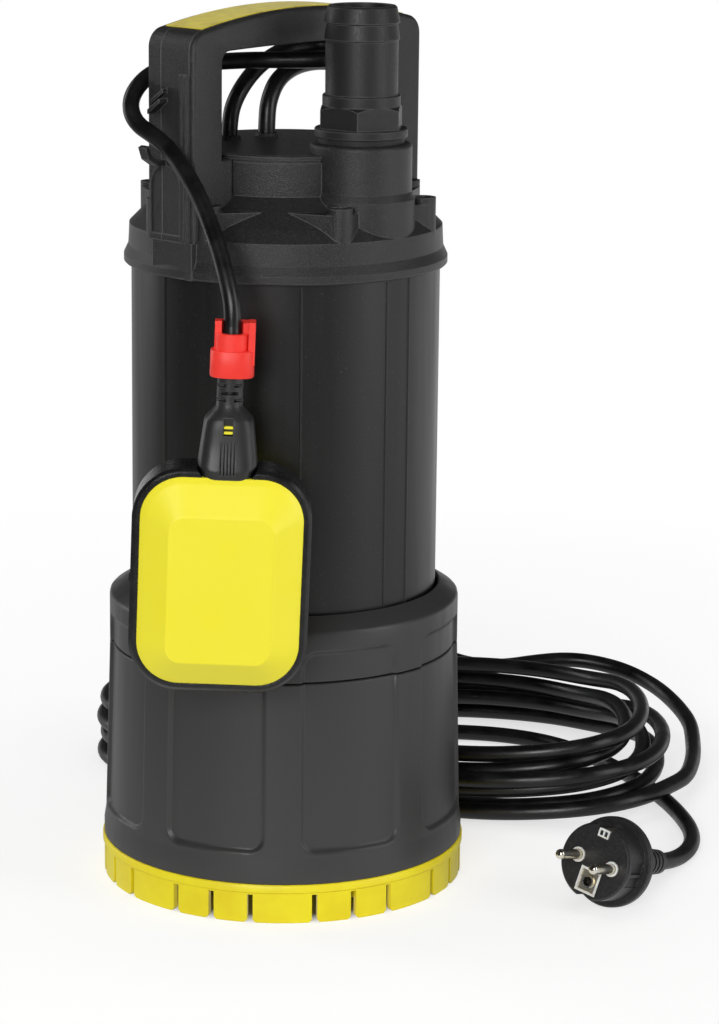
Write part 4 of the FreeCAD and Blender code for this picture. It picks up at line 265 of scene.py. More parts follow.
def cast_aluminium(name, colour, shadow):
    """Die-cast aluminium: pale grey skin with a fine dull grain."""
    material, tree, place = new_material(name)
    skin = grain(tree, place, 1.2, 3.0)
    return shade(material, {"Base Color": toned(tree, skin, 0.3, 0.65, shadow, colour), "Metallic": 0.85,
                            "Roughness": (skin, 0.3, 0.7, 0.4, 0.58), "Normal": relief(tree, skin, 0.03)})


def acetal(name, colour, shadow, rough=0.4):
    """Injection-moulded acetal: milky and waxy, with light passing a little way in."""
    material, tree, place = new_material(name)
    return shade(material, {"Base Color": toned(tree, grain(tree, place, 9.0), 0.3, 0.6, shadow, colour),
                            "Roughness": rough, "IOR": 1.48, "Subsurface Weight": 0.08,
                            "Subsurface Scale": 0.002})


def polished_ceramic(name, colour, shadow):
    """Lapped alumina seal ring: white, dense and glossy."""
    material, tree, place = new_material(name)
    tint = grain(tree, place, 7.0, 1.0)
    return shade(material, {"Base Color": toned(tree, tint, 0.3, 0.6, shadow, colour), "Roughness": 0.12,
                            "IOR": 1.76})


def bearing_steel(name, colour):
    """Ground and honed chrome steel: near mirror with the finest haze."""
    material, tree, place = new_material(name)
    return shade(material, {"Base Color": colour, "Metallic": 1.0,
                            "Roughness": (grain(tree, place, 3.0), 0.3, 0.7, 0.14, 0.24)})


# Sizes, colours and lights that a user would change
def hex_property(label, description, text):
    return bpy.props.FloatVectorProperty(name=label, description=description, subtype="COLOR", size=4,
                                         min=0.0, max=1.0, default=from_hex(text))


def measure(label, description, default, **limits):
    return bpy.props.FloatProperty(name=label, description=description, default=default, **limits)


class PumpFinishSettings(bpy.types.PropertyGroup):
    """Colours of the housing, base, float and grip."""
    housing: hex_property("Housing", "Head, handle and outlet, textured polypropylene", "#1F1F1F")
    # Painted glints on the tops of the housing's moulded grain
    housing_glint: hex_property("Housing fleck", "Tops of the housing's moulded grain", "#3E3E3F")
    jacket: hex_property("Jacket", "Upright jacket round the motor, satin polypropylene", "#111111")
    shroud: hex_property("Shroud", "Lower shroud and collar, satin polypropylene", "#343333")
    shroud_fleck: hex_property("Shroud fleck", "Dust on the shroud, the jacket and the float's neck",
                               "#454545")
    base: hex_property("Base", "Strainer base", "#FBEA1C")
    base_shadow: hex_property("Base shadow", "Deeper pigment in the strainer base", "#F2DC12")
    shell: hex_property("Float shell", "Float switch shells", "#FCF034")
    shell_shadow: hex_property("Float shell shadow", "Deeper pigment in the float shells", "#FCEE28")
    rim: hex_property("Float rim", "Rim between the float's shells", "#141415")
    rim_haze: hex_property("Float rim haze", "Faint haze on the float's rim", "#1D1D1E")
    neck: hex_property("Float neck", "Slotted neck of the float switch", "#262626")
    grip: hex_property("Grip", "Soft insert on the handle", "#E2D030")
    grip_shadow: hex_property("Grip shadow", "Rubbed part of the grip", "#CDBA24")
    clip: hex_property("Clip", "Clip on the float cord", "#FF3A2E")
    clip_shadow: hex_property("Clip shadow", "Deeper pigment in the clip", "#F23026")


class CordSettings(bpy.types.PropertyGroup):
    """Sizes and colours of the cords."""
    mains_d: measure("Mains lead", "Diameter of the mains lead", MAINS_D * MM, min=0.004, max=0.015,
                     unit="LENGTH")
    float_d: measure("Float cord", "Diameter of the float switch's cord", FLOAT_D * MM, min=0.004,
                     max=0.015, unit="LENGTH")
    sheath: hex_property("Sheath", "Rubber sheath of both cords", "#0C0C0D")
    bloom: hex_property("Bloom", "Dry bloom on the sheath", "#1B1B1C")
    sides: bpy.props.IntProperty(name="Sides", description="Flats round a cord's section", default=20,
                                 min=8, max=48)


class StudioSettings(bpy.types.PropertyGroup):
    """Floor, lamps and camera."""
    floor_size: measure("Floor", "Width of the floor", 14.0, min=2.0, max=40.0, unit="LENGTH")
    lens: measure("Lens", "Focal length for a 36 mm long side", 118.5, min=20.0, max=300.0)
    distance: measure("Camera distance", "Camera's distance in front", 1.581, min=0.3, max=10.0,
                      unit="LENGTH")
    height: measure("Camera height", "Camera's height over the floor", 0.550, min=0.0, max=5.0,
                    unit="LENGTH")
    tilt: measure("Camera tilt", "How far the camera looks down", math.radians(13.25), subtype="ANGLE")
    pan: measure("Camera pan", "How far the camera looks to the right", math.radians(1.31),
                 subtype="ANGLE")
    roll: measure("Camera roll", "How far the camera leans", math.radians(0.62), subtype="ANGLE")
    key_power: measure("Key light", "Power of the large front light", 30.0, min=0.0, unit="POWER")
    side_power: measure("Side light", "Power of each strip light", 9.0, min=0.0, unit="POWER")


# Meshes
def linked(name, data):
    """Object in the scene with that mesh, lamp or camera."""
    item = bpy.data.objects.new(name, data)
    bpy.context.scene.collection.objects.link(item)
    return item


def mesh_piece(name, points, faces, sharp=35.0):
    """Object with smooth faces whose normals point outwards, creased where they turn sharply."""
    mesh = bmesh.new()
    verts = [mesh.verts.new(p) for p in points]
    for face in faces:
        mesh.faces.new([verts[i] for i in face])
    bmesh.ops.recalc_face_normals(mesh, faces=mesh.faces)
    data = bpy.data.meshes.new(name)
    mesh.to_mesh(data)
    mesh.free()
    return creased(linked(name, data), sharp)


def creased(item, sharp=35.0):
    item.data.shade_smooth()
    item.data.set_sharp_from_angle(angle=math.radians(sharp))
    return item


def skinned(name, rings, closed=False):
    """Skin over rings of equally many points; open ends are capped, or the last ring meets the first."""
    count = len(rings[0])
    points = [p for ring in rings for p in ring]
    faces = []
    for i in range(len(rings) if closed else len(rings) - 1):
        low, high = i * count, (i + 1) % len(rings) * count
        faces += [(low + k, low + (k + 1) % count, high + (k + 1) % count, high + k) for k in range(count)]
    if not closed:
        faces += [range(count), range(len(points) - count, len(points))]
    return mesh_piece(name, points, faces)


def in_place(item, matrix):
    """Put a mesh that was made in millimetres in its place, in metres."""
    item.data.transform(Matrix.Scale(MM, 4) @ matrix)
    return item


def loft(name, sections, x=0.0, count=64):
    """Upright body through (height, half width, half depth, squareness) sections about x."""
    rings = []
    for z, a, b, power in sections:
        ring = []
        for k in range(count):
            c, s = math.cos(math.tau * k / count), math.sin(math.tau * k / count)
            ring.append((x + a * math.copysign(abs(c) ** (2 / power), c),
                         b * math.copysign(abs(s) ** (2 / power), s), z))
        rings.append(ring)
    return skinned(name, rings)


def boxes(name, *corners):
    """Plain blocks, each given by x0, x1, y0, y1, z0, z1, for joining to a body or cutting it."""
    points, faces = [], []
    for x0, x1, y0, y1, z0, z1 in corners:
        n = len(points)
        points += [(x, y, z) for z in (z0, z1) for x, y in ((x0, y0), (x1, y0), (x1, y1), (x0, y1))]
        faces += [(n, n + 1, n + 2, n + 3), (n + 4, n + 5, n + 6, n + 7)]
        faces += [(n + k, n + (k + 1) % 4, n + 4 + (k + 1) % 4, n + 4 + k) for k in range(4)]
    return mesh_piece(name, points, faces)


def ring_rows(rows, count=64):
    """Circles of points at (radius, height) rows, for a collar, sleeve or rim."""
    return [[(r * math.cos(a), r * math.sin(a), z) for a in (math.tau * k / count for k in range(count))]
            for r, z in rows]


def combined(item, other, operation):
    """Join the other body to this one, or cut it out of it."""
    change = item.modifiers.new("change", "BOOLEAN")
    change.operation = operation
    change.solver = "EXACT"
    change.object = other
    graph = bpy.context.evaluated_depsgraph_get()
    data = bpy.data.meshes.new_from_object(item.evaluated_get(graph))
    item.modifiers.clear()
    old, item.data = item.data, data
    bpy.data.meshes.remove(old)
    bpy.data.objects.remove(other)
    data.name = item.name
    return creased(item)


# Cords
def spline_line(route):
    """Points along one open smooth spline whose control points are the route."""
    data = bpy.data.curves.new("cord_line", "CURVE")
    data.dimensions = "3D"
    data.resolution_u = 8
    spline = data.splines.new("NURBS")
    spline.points.add(len(route) - 1)
    for point, place in zip(spline.points, route):
        point.co = (*place, 1.0)
    spline.order_u = 3
    spline.use_endpoint_u = True
    guide = bpy.data.objects.new("cord_line", data)
    mesh = bpy.data.meshes.new_from_object(guide)
    points = [vertex.co.copy() for vertex in mesh.vertices]
    bpy.data.meshes.remove(mesh)
    bpy.data.objects.remove(guide)
    bpy.data.curves.remove(data)
    return points


def length_of(line):
    return sum((b - a).length for a, b in zip(line, line[1:]))


def tube_along(name, line, diameter, sides):
    """Mesh tube round a line of points, its section carried along without twist."""
    across = None
    rings = []
    for i, at in enumerate(line):
        along = (line[min(i + 1, len(line) - 1)] - line[max(i - 1, 0)]).normalized()
        if across is None:
            across = along.orthogonal().normalized()
        across = (across - along * across.dot(along)).normalized()
        other = along.cross(across)
        rings.append([at + (across * math.cos(a) + other * math.sin(a)) * diameter / 2
                      for a in (math.tau * k / sides for k in range(sides))])
    return skinned(name, rings)


def laid_cord(name, finish, route, diameter, settings):
    """Rubber cord along a route in millimetres, and the smooth line in metres that it follows."""
    line = spline_line([Vector(p) * MM for p in route])
    cord = tube_along(name, line, diameter, settings.sides)
    cord.data.materials.append(cable_sheath(finish, settings.sheath, settings.bloom))
    return cord, line


# Route of the mains lead, in millimetres
DECK_TOP = 357.6
LEAD_Z = MAINS_D / 2
MAINS_EXIT = (-9.5, 24.5, DECK_TOP)
MAINS_DROP = [MAINS_EXIT, (-9.5, 24.5, 361.6), (-8.8, 26.5, 372.5), (-4, 34, 383), (7, 48, 388.5),
              (23, 64, 388), (39, 80, 378), (48, 93, 353), (51, 99, 318), (52, 101, 275), (52, 102, 225),
              (50, 103, 180), (48, 107, 128), (45, 119, 87), (44, 144, 62), (46, 178, 52), (50, 210, 49.5),
              (56, 236, 47), (68, 257, 42), (85, 265, 34), (104, 263, 27), (124, 257, 27.5),
              (143, 259, 30), (160, 261, 31), (176, 259, 30), (194, 252, 27), (209, 234, 23),
              (218, 213, 19), (223, 188, 16), (222, 165, 13.5), (219.2, 138, 12.5),
              (214.8, 114.5, 13.05), (211.0, 100.5, 13.3)]
COIL_MIDDLE = (55.0, 163.3)
COIL_HALF = (160.0, 97.0)
COIL_EGG = 14.6
COIL_WAIST = 8.0
COIL_SLOPE = -18.5
COIL_BOW = -4.7
COIL_START = -20.0
COIL_PITCH = 9.4
COIL_RISE = 9.6
COIL_SPREAD = 1.6
COIL_FAN = (0.0, 6.5, 17.0, 8.0)
COIL_LEAN = 11.0
LAYER_QUARTERS = 6
COIL_QUARTERS = 22
LIFT_FROM, LIFT_TO, LIFT_RAMP = -42.0, 8.0, 32.0
POINTS_PER_QUARTER = 5
LEAD_DROP = [(-80, 228, 33.5), (-63, 238, 38.5), (-41, 237, 39.5), (-19, 229, 37), (2, 219, 28.5),
             (22, 214, 17), (43, 211, 8), (68, 209, LEAD_Z), (95, 207, LEAD_Z), (121, 202, LEAD_Z),
             (145, 189, LEAD_Z), (166, 165, LEAD_Z), (183, 133, LEAD_Z), (196, 98, LEAD_Z),
             (204, 64, LEAD_Z), (207, 34, LEAD_Z), (203, 9, LEAD_Z)]
PLUG_HEADING, PLUG_DIP, PLUG_ROLL = 54.3, 15.7, 10.8
PLUG_RIM = (157.0, -58.5)
PLUG_RIM_R = 21.7
RIM_FROM_FACE = 17.0
RELIEF_END = 62.0
CORD_STRAIGHT = 16.0


def coil_outline(t):
    """Point of the coil's outline: an egg with a waist, sloped and bowed, fuller at its front right."""
    lean = COIL_LEAN * math.sin(2 * t) ** 2 if math.cos(t) > 0 > math.sin(t) else 0.0
    y = COIL_MIDDLE[1] + COIL_HALF[1] * math.sin(t) + COIL_EGG * math.sin(2 * t)
    y += COIL_WAIST * math.sin(3 * t) + COIL_SLOPE * math.cos(t) + COIL_BOW * math.cos(2 * t) - lean
    return Vector((COIL_MIDDLE[0] + COIL_HALF[0] * math.cos(t), y, 0.0))


def coil_lift(degrees):
    """How far the pile's right end is raised over the lead that runs beneath it."""
    degrees = (degrees + 180.0) % 360.0 - 180.0
    beyond = max(LIFT_FROM - degrees, degrees - LIFT_TO, 0.0)
    share = max(1.0 - beyond / LIFT_RAMP, 0.0)
    return COIL_RISE * share * share * (3 - 2 * share)


def coil_point(q):
    """Place of the lead after q quarter turns of its coil."""
    layer = int(q // LAYER_QUARTERS)
    along = (q - layer * LAYER_QUARTERS) / 4
    inset = along if layer % 2 == 0 else LAYER_QUARTERS / 4 - along
    level = float(layer)
    to_next = q - (layer + 1) * LAYER_QUARTERS
    if to_next > -1 and (layer + 1) * LAYER_QUARTERS < COIL_QUARTERS:
        level += (to_next + 1) / 2
    elif q - layer * LAYER_QUARTERS < 1 and layer > 0:
        level -= (1 - (q - layer * LAYER_QUARTERS)) / 2
    degrees = COIL_START - 90.0 * q
    t = math.radians(degrees)
    step = 0.001
    direction = (coil_outline(t + step) - coil_outline(t - step)).normalized()
    inward = Vector((0, 0, 1)).cross(direction)
    spread_out = 1 + (COIL_SPREAD - 1) * math.cos(t) ** 2
    below = min(int(level), len(COIL_FAN) - 2)
    fan = COIL_FAN[below] + (COIL_FAN[below + 1] - COIL_FAN[below]) * (level - below)
    fan *= (1 + math.cos(t)) / 2
    return (coil_outline(t) + inward * (COIL_PITCH * inset * spread_out)
            + Vector((-fan, 0, MAINS_D / 2 + COIL_RISE * level + coil_lift(degrees))))


def plug_frame():
    """Plug's own axes: cord leaves along +Z, pins point along -Z, face at zero, in millimetres."""
    heading, dip = math.radians(PLUG_HEADING), math.radians(PLUG_DIP)
    back = Vector((math.cos(heading) * math.cos(dip), math.sin(heading) * math.cos(dip), -math.sin(dip)))
    side = Vector((0, 0, 1)).cross(back).normalized()
    top = back.cross(side)
    face = Vector((*PLUG_RIM, PLUG_RIM_R * math.cos(dip))) - back * RIM_FROM_FACE
    place = Matrix((side, top, back)).transposed().to_4x4()
    place.translation = face
    return place


def mains_route():
    turns = [coil_point(i / POINTS_PER_QUARTER) for i in range(COIL_QUARTERS * POINTS_PER_QUARTER + 1)]
    frame = plug_frame()
    tail = [frame @ Vector((0, 0, RELIEF_END + CORD_STRAIGHT)), frame @ Vector((0, 0, RELIEF_END - 2))]
    return [Vector(p) for p in MAINS_DROP] + turns + [Vector(p) for p in LEAD_DROP] + tail


# Route of the float cord, in millimetres, through its pivot
FLOAT_EXIT = (-27.0, 10.0, DECK_TOP)
FLOAT_PIVOT = (-58.478, -55.932, 364.2)
FLOAT_TOP = (-23.511, -107.0, 287.188)
FLOAT_ROUTE = [FLOAT_EXIT, (-27, 10, 361.6), (-25.5, 13.5, 372.5), (-18, 23.5, 384.5), (-8, 36, 392.5),
               (4, 47.5, 397), (19.7, 51, 397.5), (32, 38.7, 396.5), (32, 21.3, 395), (19.7, 9, 393.8),
               (2, 8, 393.5), (-15, 8, 393.5), (-31, -1, 393.5), (-45, -14, 393.5), (-57, -27, 393),
               (-66.5, -37, 388), (-71.8, -42.3, 379), (-69.1, -48.1, 370), FLOAT_PIVOT,
               (-51.8, -63.0, 359), (-45.3, -71.5, 351), (-39.5, -79, 342), (-34.2, -87.2, 331),
               (-29, -96, 317.5), (-25.4, -103.4, 305), (-23.3, -106.9, 295), FLOAT_TOP]


class PUMP_OT_float_cord(bpy.types.Operator):
    """Lay the float switch's cord from the deck through its guide to the clip"""
    bl_idname = "pump.float_cord"
    bl_label = "Float cord"

    def execute(self, context):
        settings = context.scene.pump_cords
        cord, line = laid_cord("float_cord", "chloroprene_float_cord", FLOAT_ROUTE, settings.float_d,
                               settings)
        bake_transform(cord)
        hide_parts("float_cable_upper", "float_cable_lower")
        length_of(line)
        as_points(line)
        return {"FINISHED"}


class PUMP_OT_mains_lead(bpy.types.Operator):
    """Lay the mains lead: down the back, round its coil and out to the plug"""
    bl_idname = "pump.mains_lead"
    bl_label = "Mains lead"

    def execute(self, context):
        settings = context.scene.pump_cords
        lead, line = laid_cord("mains_lead", "chloroprene_mains_lead", mains_route(), settings.mains_d,
                               settings)
        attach(lead, "pump")
        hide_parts("mains_cable", "mains_coil", "plug_lead")
        length_of(line)
        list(plug_trim())
        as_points(line)
        return {"FINISHED"}


# Shroud and collar, in millimetres
BAYS = 8
PANEL_HALF_DEG = 17.25
PANEL_MIDDLE_DEG = -67.5
PANEL_FOOT_Z, PANEL_HEAD_Z = 33.0, 131.0
PANEL_CORNER = 8.0
PANEL_DEPTH = 1.7
PANEL_BEVEL = 2.4
EDGE_FROM_DEG, EDGE_STEP_DEG, BAY_END_DEG = 11.25, 0.35, 20.5
BASE_R, SKIRT_FOOT_Z = 87.5, 18.7
BULGE_R, BULGE_Z = 86.6, 30.0
SKIRT_TOP_R, SKIRT_TOP_Z = 84.2, 114.8
SHROUD_FLOOR_R, SHROUD_FLOOR_T, SHROUD_WALL = 60.0, 3.0, 4.0
SEAM = 0.7
COLLAR_EDGE_Z = 140.2
COLLAR_CREST_R, COLLAR_CREST_Z = 74.3, 145.4
COLLAR_SEAT_Z = 123.0
JACKET_R = 73.0


def wall_radius(z):
    return BULGE_R + (SKIRT_TOP_R - BULGE_R) * (z - BULGE_Z) / (SKIRT_TOP_Z - BULGE_Z)


def panel_recess(offset_deg, z):
    """Depth of the wall's shallow panel at an angle from the panel's middle and a height."""
    half_w = math.radians(PANEL_HALF_DEG) * SKIRT_TOP_R
    half_h = (PANEL_HEAD_Z - PANEL_FOOT_Z) / 2
    x = abs(math.radians(offset_deg)) * SKIRT_TOP_R - (half_w - PANEL_CORNER)
    y = abs(z - (PANEL_FOOT_Z + half_h)) - (half_h - PANEL_CORNER)
    inside = PANEL_CORNER - math.hypot(max(x, 0), max(y, 0)) - min(max(x, y), 0)
    share = min(max(inside / PANEL_BEVEL, 0.0), 1.0)
    return PANEL_DEPTH * share * share * (3 - 2 * share)


def bay_offsets():
    """Angles across one bay, close together at the edges of its panel."""
    side = [1.5 * k for k in range(8)] + [EDGE_FROM_DEG + EDGE_STEP_DEG * k for k in range(19)]
    side.append(BAY_END_DEG)
    return [-a for a in reversed(side[1:])] + side


def panelled_wall(name, outside, inside):
    """Closed wall of revolution: (radius, height) rows up its outside, cut by the panels, and down
    its inside."""
    rings = []
    for bay in range(BAYS):
        for offset in bay_offsets():
            a = math.radians(PANEL_MIDDLE_DEG + bay * 360 / BAYS + offset)
            rows = [(r - panel_recess(offset, z), z) for r, z in outside] + inside
            rings.append([(r * math.cos(a), r * math.sin(a), z) for r, z in rows])
    return in_place(skinned(name, rings, closed=True), Matrix())


def heights(start, end, step):
    count = max(round((end - start) / step), 1)
    return [start + (end - start) * k / count for k in range(count + 1)]


def shroud_skirt():
    """Lower shroud with bevelled panels between its ribs and a bulged foot."""
    levels = heights(BULGE_Z + 1, PANEL_FOOT_Z + PANEL_CORNER + 2, 0.6)
    levels += heights(levels[-1], SKIRT_TOP_Z - 0.5, 8.0)[1:]
    outside = [(BASE_R - 0.4, SKIRT_FOOT_Z), (BASE_R, SKIRT_FOOT_Z + 0.4), (BASE_R, BULGE_Z - 5)]
    outside += [(wall_radius(z), z) for z in levels]
    outside.append((SKIRT_TOP_R - 0.5, SKIRT_TOP_Z))
    floor = SKIRT_FOOT_Z + SHROUD_FLOOR_T
    inside = [(SKIRT_TOP_R - SHROUD_WALL, SKIRT_TOP_Z), (BASE_R - SHROUD_WALL, floor),
              (SHROUD_FLOOR_R, floor), (SHROUD_FLOOR_R, SKIRT_FOOT_Z)]
    return panelled_wall("shroud_skirt", outside, inside)


def shroud_collar_ring():
    """Collar with the panels' heads, a soft edge and a conical top that closes on the jacket."""
    foot = SKIRT_TOP_Z + SEAM
    levels = heights(foot + 0.5, PANEL_HEAD_Z - PANEL_CORNER - 2, 5.0)
    levels += heights(levels[-1], PANEL_HEAD_Z + 2, 0.6)[1:] + [COLLAR_EDGE_Z - 2]
    outside = [(SKIRT_TOP_R - 0.5, foot)] + [(SKIRT_TOP_R, z) for z in levels]
    outside += [(SKIRT_TOP_R - 0.25, COLLAR_EDGE_Z - 0.8), (SKIRT_TOP_R - 1.0, COLLAR_EDGE_Z),
                (COLLAR_CREST_R + 0.8, COLLAR_CREST_Z), (COLLAR_CREST_R, COLLAR_CREST_Z - 0.6)]
    wall_r = SKIRT_TOP_R - SHROUD_WALL
    inside = [(COLLAR_CREST_R, COLLAR_SEAT_Z), (wall_r, COLLAR_SEAT_Z), (wall_r, foot)]
    return panelled_wall("shroud_collar_ring", outside, inside)


# Jacket's moulded ribs
RIB_DEG = (-140.0, -84.5, -50.5, -38.8, 40.0, 95.0)
RIB_W, RIB_PROUD = 1.3, 0.45
RIB_TOP_Z = 299.0


def jacket_ribs():
    """Fine upright ribs that stand proud of the jacket, each with a rounded crest."""
    section = [(JACKET_R - 1.0, -RIB_W / 2), (JACKET_R, -RIB_W / 2), (JACKET_R + RIB_PROUD, -RIB_W / 5),
               (JACKET_R + RIB_PROUD, RIB_W / 5), (JACKET_R, RIB_W / 2), (JACKET_R - 1.0, RIB_W / 2)]
    points, faces = [], []
    count = len(section)
    for degrees in RIB_DEG:
        n = len(points)
        turn = Matrix.Rotation(math.radians(degrees), 4, "Z")
        for z in (COLLAR_CREST_Z - 1.5, RIB_TOP_Z):
            points += [turn @ Vector((x, y, z)) for x, y in section]
        faces += [(n + k, n + (k + 1) % count, n + count + (k + 1) % count, n + count + k)
                  for k in range(count)]
        faces += [range(n, n + count), range(n + count, n + 2 * count)]
    return in_place(mesh_piece("jacket_ribs", points, faces, sharp=60.0), Matrix())


# Handle's front shell in its own frame, U along the handle and W across it, in millimetres
HANDLE_DEG = 45.0
SHELL_HALF_L, SHELL_LEG, SHELL_FOOT_IN = 75.0, 18.0, 50.5
SHELL_FOOT_Z, SHELL_KNEE_Z, SHELL_SHOULDER_Z, SHELL_CROWN_Z = 316.5, 353.5, 411.0, 420.0
SHELL_CORNER = 9.0
WINDOW_TOP_Z, WINDOW_CORNER, WINDOW_ARCH = 402.8, 5.0, 1.0
SHELL_FRONT_W, SHELL_BACK_W = -16.0, -12.8
SHELL_ROUND, WINDOW_ROUND = 2.4, 0.9


def arc(x, z, radius, start, end, count):
    """Points of an arc about (x, z), its angles in degrees."""
    angles = [math.radians(start + (end - start) * k / count) for k in range(count + 1)]
    return [(x + radius * math.cos(a), z + radius * math.sin(a)) for a in angles]


def handle_half_outlines():
    """Right half of the handle seen from the front: its outer side going up, its window coming down."""
    rise = SHELL_CROWN_Z - SHELL_SHOULDER_Z
    crown_r = (SHELL_HALF_L ** 2 + rise ** 2) / (2 * rise)
    crown_z = SHELL_CROWN_Z - crown_r
    corner_x = SHELL_HALF_L - SHELL_CORNER
    reach = math.sqrt((crown_r - SHELL_CORNER) ** 2 - corner_x ** 2)
    meet = math.degrees(math.atan2(reach, corner_x))
    outer = [(SHELL_HALF_L, SHELL_FOOT_Z + 0.01), *arc(corner_x, crown_z + reach, SHELL_CORNER, 0, meet, 8)]
    outer += arc(0, crown_z, crown_r, meet, 90, 14)[1:]
    inner = SHELL_HALF_L - SHELL_LEG
    flat = inner - WINDOW_CORNER
    window = [(flat * k / 6, WINDOW_TOP_Z + WINDOW_ARCH * (1 - (k / 6) ** 2)) for k in range(7)]
    window += arc(flat, WINDOW_TOP_Z - WINDOW_CORNER, WINDOW_CORNER, 90, 0, 6)[1:]
    window += [(inner, SHELL_KNEE_Z), (SHELL_FOOT_IN, SHELL_KNEE_Z), (SHELL_FOOT_IN, SHELL_FOOT_Z)]
    return outer, window


def handle_front():
    """Front shell of the handle with its legs' broad feet, rounded along every edge."""
    outer, window = handle_half_outlines()
    outline = outer + [(-x, z) for x, z in reversed(outer[:-1])]
    inside = window + [(-x, z) for x, z in reversed(window[1:])]
    inside = inside[len(window):] + inside[:len(window)]
    soft = [SHELL_ROUND] * len(outline) + [WINDOW_ROUND] * len(inside)
    outline += inside
    shifts = []
    for k, (x, z) in enumerate(outline):
        before, after = Vector(outline[k - 1]), Vector(outline[(k + 1) % len(outline)])
        here = Vector((x, z))
        first, second = (here - before).normalized(), (after - here).normalized()
        n1, n2 = Vector((-first.y, first.x)), Vector((-second.y, second.x))
        middle = (n1 + n2).normalized()
        shifts.append(middle / max(middle.dot(n1), 0.5))
    rings = [[(x, SHELL_BACK_W, z) for x, z in outline]]
    for step in range(6):
        a = math.radians(18 * step)
        rings.append([(x + n.x * r * (1 - math.cos(a)), SHELL_FRONT_W + r * (1 - math.sin(a)),
                       z + n.y * r * (1 - math.cos(a)))
                      for (x, z), n, r in zip(outline, shifts, soft)])
    return in_place(skinned("handle_front", rings), Matrix.Rotation(math.radians(HANDLE_DEG), 4, "Z"))


# Base's rim, a little proud over the slots
RIM_ROWS = [(85.5, 14.6), (87.9, 14.6), (88.25, 15.0), (88.25, 17.9), (87.9, 18.5), (85.5, 18.6)]


def base_rim():
    return in_place(skinned("base_rim", ring_rows(RIM_ROWS, 192), closed=True), Matrix())


# Float's neck and clip, upright about the cord, in millimetres from the float's middle
FLOAT_LEAN = 1.9
PIVOT_UP = 114.3
NECK_SECTIONS = [(46.8, 11.3, 12.7, 4.5), (50.2, 11.7, 13.0, 4.5), (51.4, 12.8, 12.9, 4.2),
                 (52.8, 13.4, 12.4, 4.0), (56.0, 13.1, 11.4, 3.6), (62.0, 12.4, 10.4, 3.4),
                 (68.0, 11.7, 9.9, 3.2), (72.3, 11.1, 9.6, 3.0), (73.4, 10.7, 9.2, 2.8),
                 (76.0, 8.4, 7.6, 2.4), (78.3, 6.3, 6.2, 2.1), (79.2, 6.0, 6.0, 2.0),
                 (84.5, 5.95, 5.95, 2.0), (92.4, 5.8, 5.8, 2.0), (92.6, 4.2, 4.2, 2.0),
                 (107.0, 4.2, 4.2, 2.0)]
SLOT_ROWS = ((87.4, ((-8.0, -1.7), (1.7, 8.0))), (84.0, ((-3.9, 3.9),)), (80.8, ((-8.0, -1.7), (1.7, 8.0))))
SLOT_H, SLOT_SIDE_Y, SLOT_REACH, CORE_R = 1.6, 1.0, 9.0, 2.6
GROOVE_W, GROOVE_PITCH, GROOVES = 0.6, 1.5, 5
GROOVE_FOOT, GROOVE_HEAD, GROOVE_Y = 49.0, 63.5, 9.9
WINDOW_W, WINDOW_FOOT, WINDOW_HEAD, WINDOW_Y = 4.4, 66.4, 74.0, 7.4
CUT_FRONT = 20.0
CORD_END_ROWS = [(3.87, 106.0), (3.87, 114.0), (3.5, 115.6), (2.2, 117.0)]
CLIP_FOOT, CLIP_STEP, CLIP_RIM, CLIP_HEAD = 91.8, 103.9, 111.4, 116.8
CLIP_BORE_R, CLIP_BAND_X = 4.7, 0.5
CLIP_BLOCKS = {"channel": (-7.7, 10.3, 0.4, 6.6, CLIP_STEP - 3, CLIP_HEAD - 0.5),
               "left_horn": (-7.7, -4.6, -2.4, 3.0, CLIP_STEP - 2, CLIP_HEAD),
               "right_horn": (4.9, 7.8, -2.0, 3.0, CLIP_STEP - 2, CLIP_HEAD - 0.6),
               "right_tab": (7.4, 10.4, -4.2, 5.0, CLIP_STEP - 6.4, CLIP_HEAD)}


def float_place():
    """From the neck's own axis to the float as it hangs, leaning a little."""
    return (Matrix.Translation(FLOAT_TOP) @ Matrix.Rotation(math.radians(FLOAT_LEAN), 4, "Y")
            @ Matrix.Translation((0, 0, -PIVOT_UP)))


def float_boot():
    """Moulded neck: a broad rounded foot that draws in to a slotted sleeve, with grooves and a window."""
    boot = loft("float_boot", NECK_SECTIONS)
    cuts = []
    for z, spans in SLOT_ROWS:
        for x0, x1 in spans:
            cuts += [(x0, x1, -SLOT_REACH, -SLOT_SIDE_Y, z, z + SLOT_H),
                     (x0, x1, SLOT_SIDE_Y, SLOT_REACH, z, z + SLOT_H)]
    for k in range(GROOVES):
        x = (k - (GROOVES - 1) / 2) * GROOVE_PITCH
        cuts.append((x - GROOVE_W / 2, x + GROOVE_W / 2, -CUT_FRONT, -GROOVE_Y, GROOVE_FOOT, GROOVE_HEAD))
    cuts.append((-WINDOW_W / 2, WINDOW_W / 2, -CUT_FRONT, -WINDOW_Y, WINDOW_FOOT, WINDOW_HEAD))
    boot = combined(boot, boxes("cuts", *cuts), "DIFFERENCE")
    core = skinned("core", ring_rows([(CORE_R, SLOT_ROWS[-1][0] - 2), (CORE_R, SLOT_ROWS[0][0] + 3)]))
    return in_place(combined(boot, core, "UNION"), float_place())


def cord_end():
    """End of the cord that is gripped in the clip, with a domed head that fills the joint when it tilts."""
    return in_place(skinned("cord_end", ring_rows(CORD_END_ROWS, 32)), float_place())


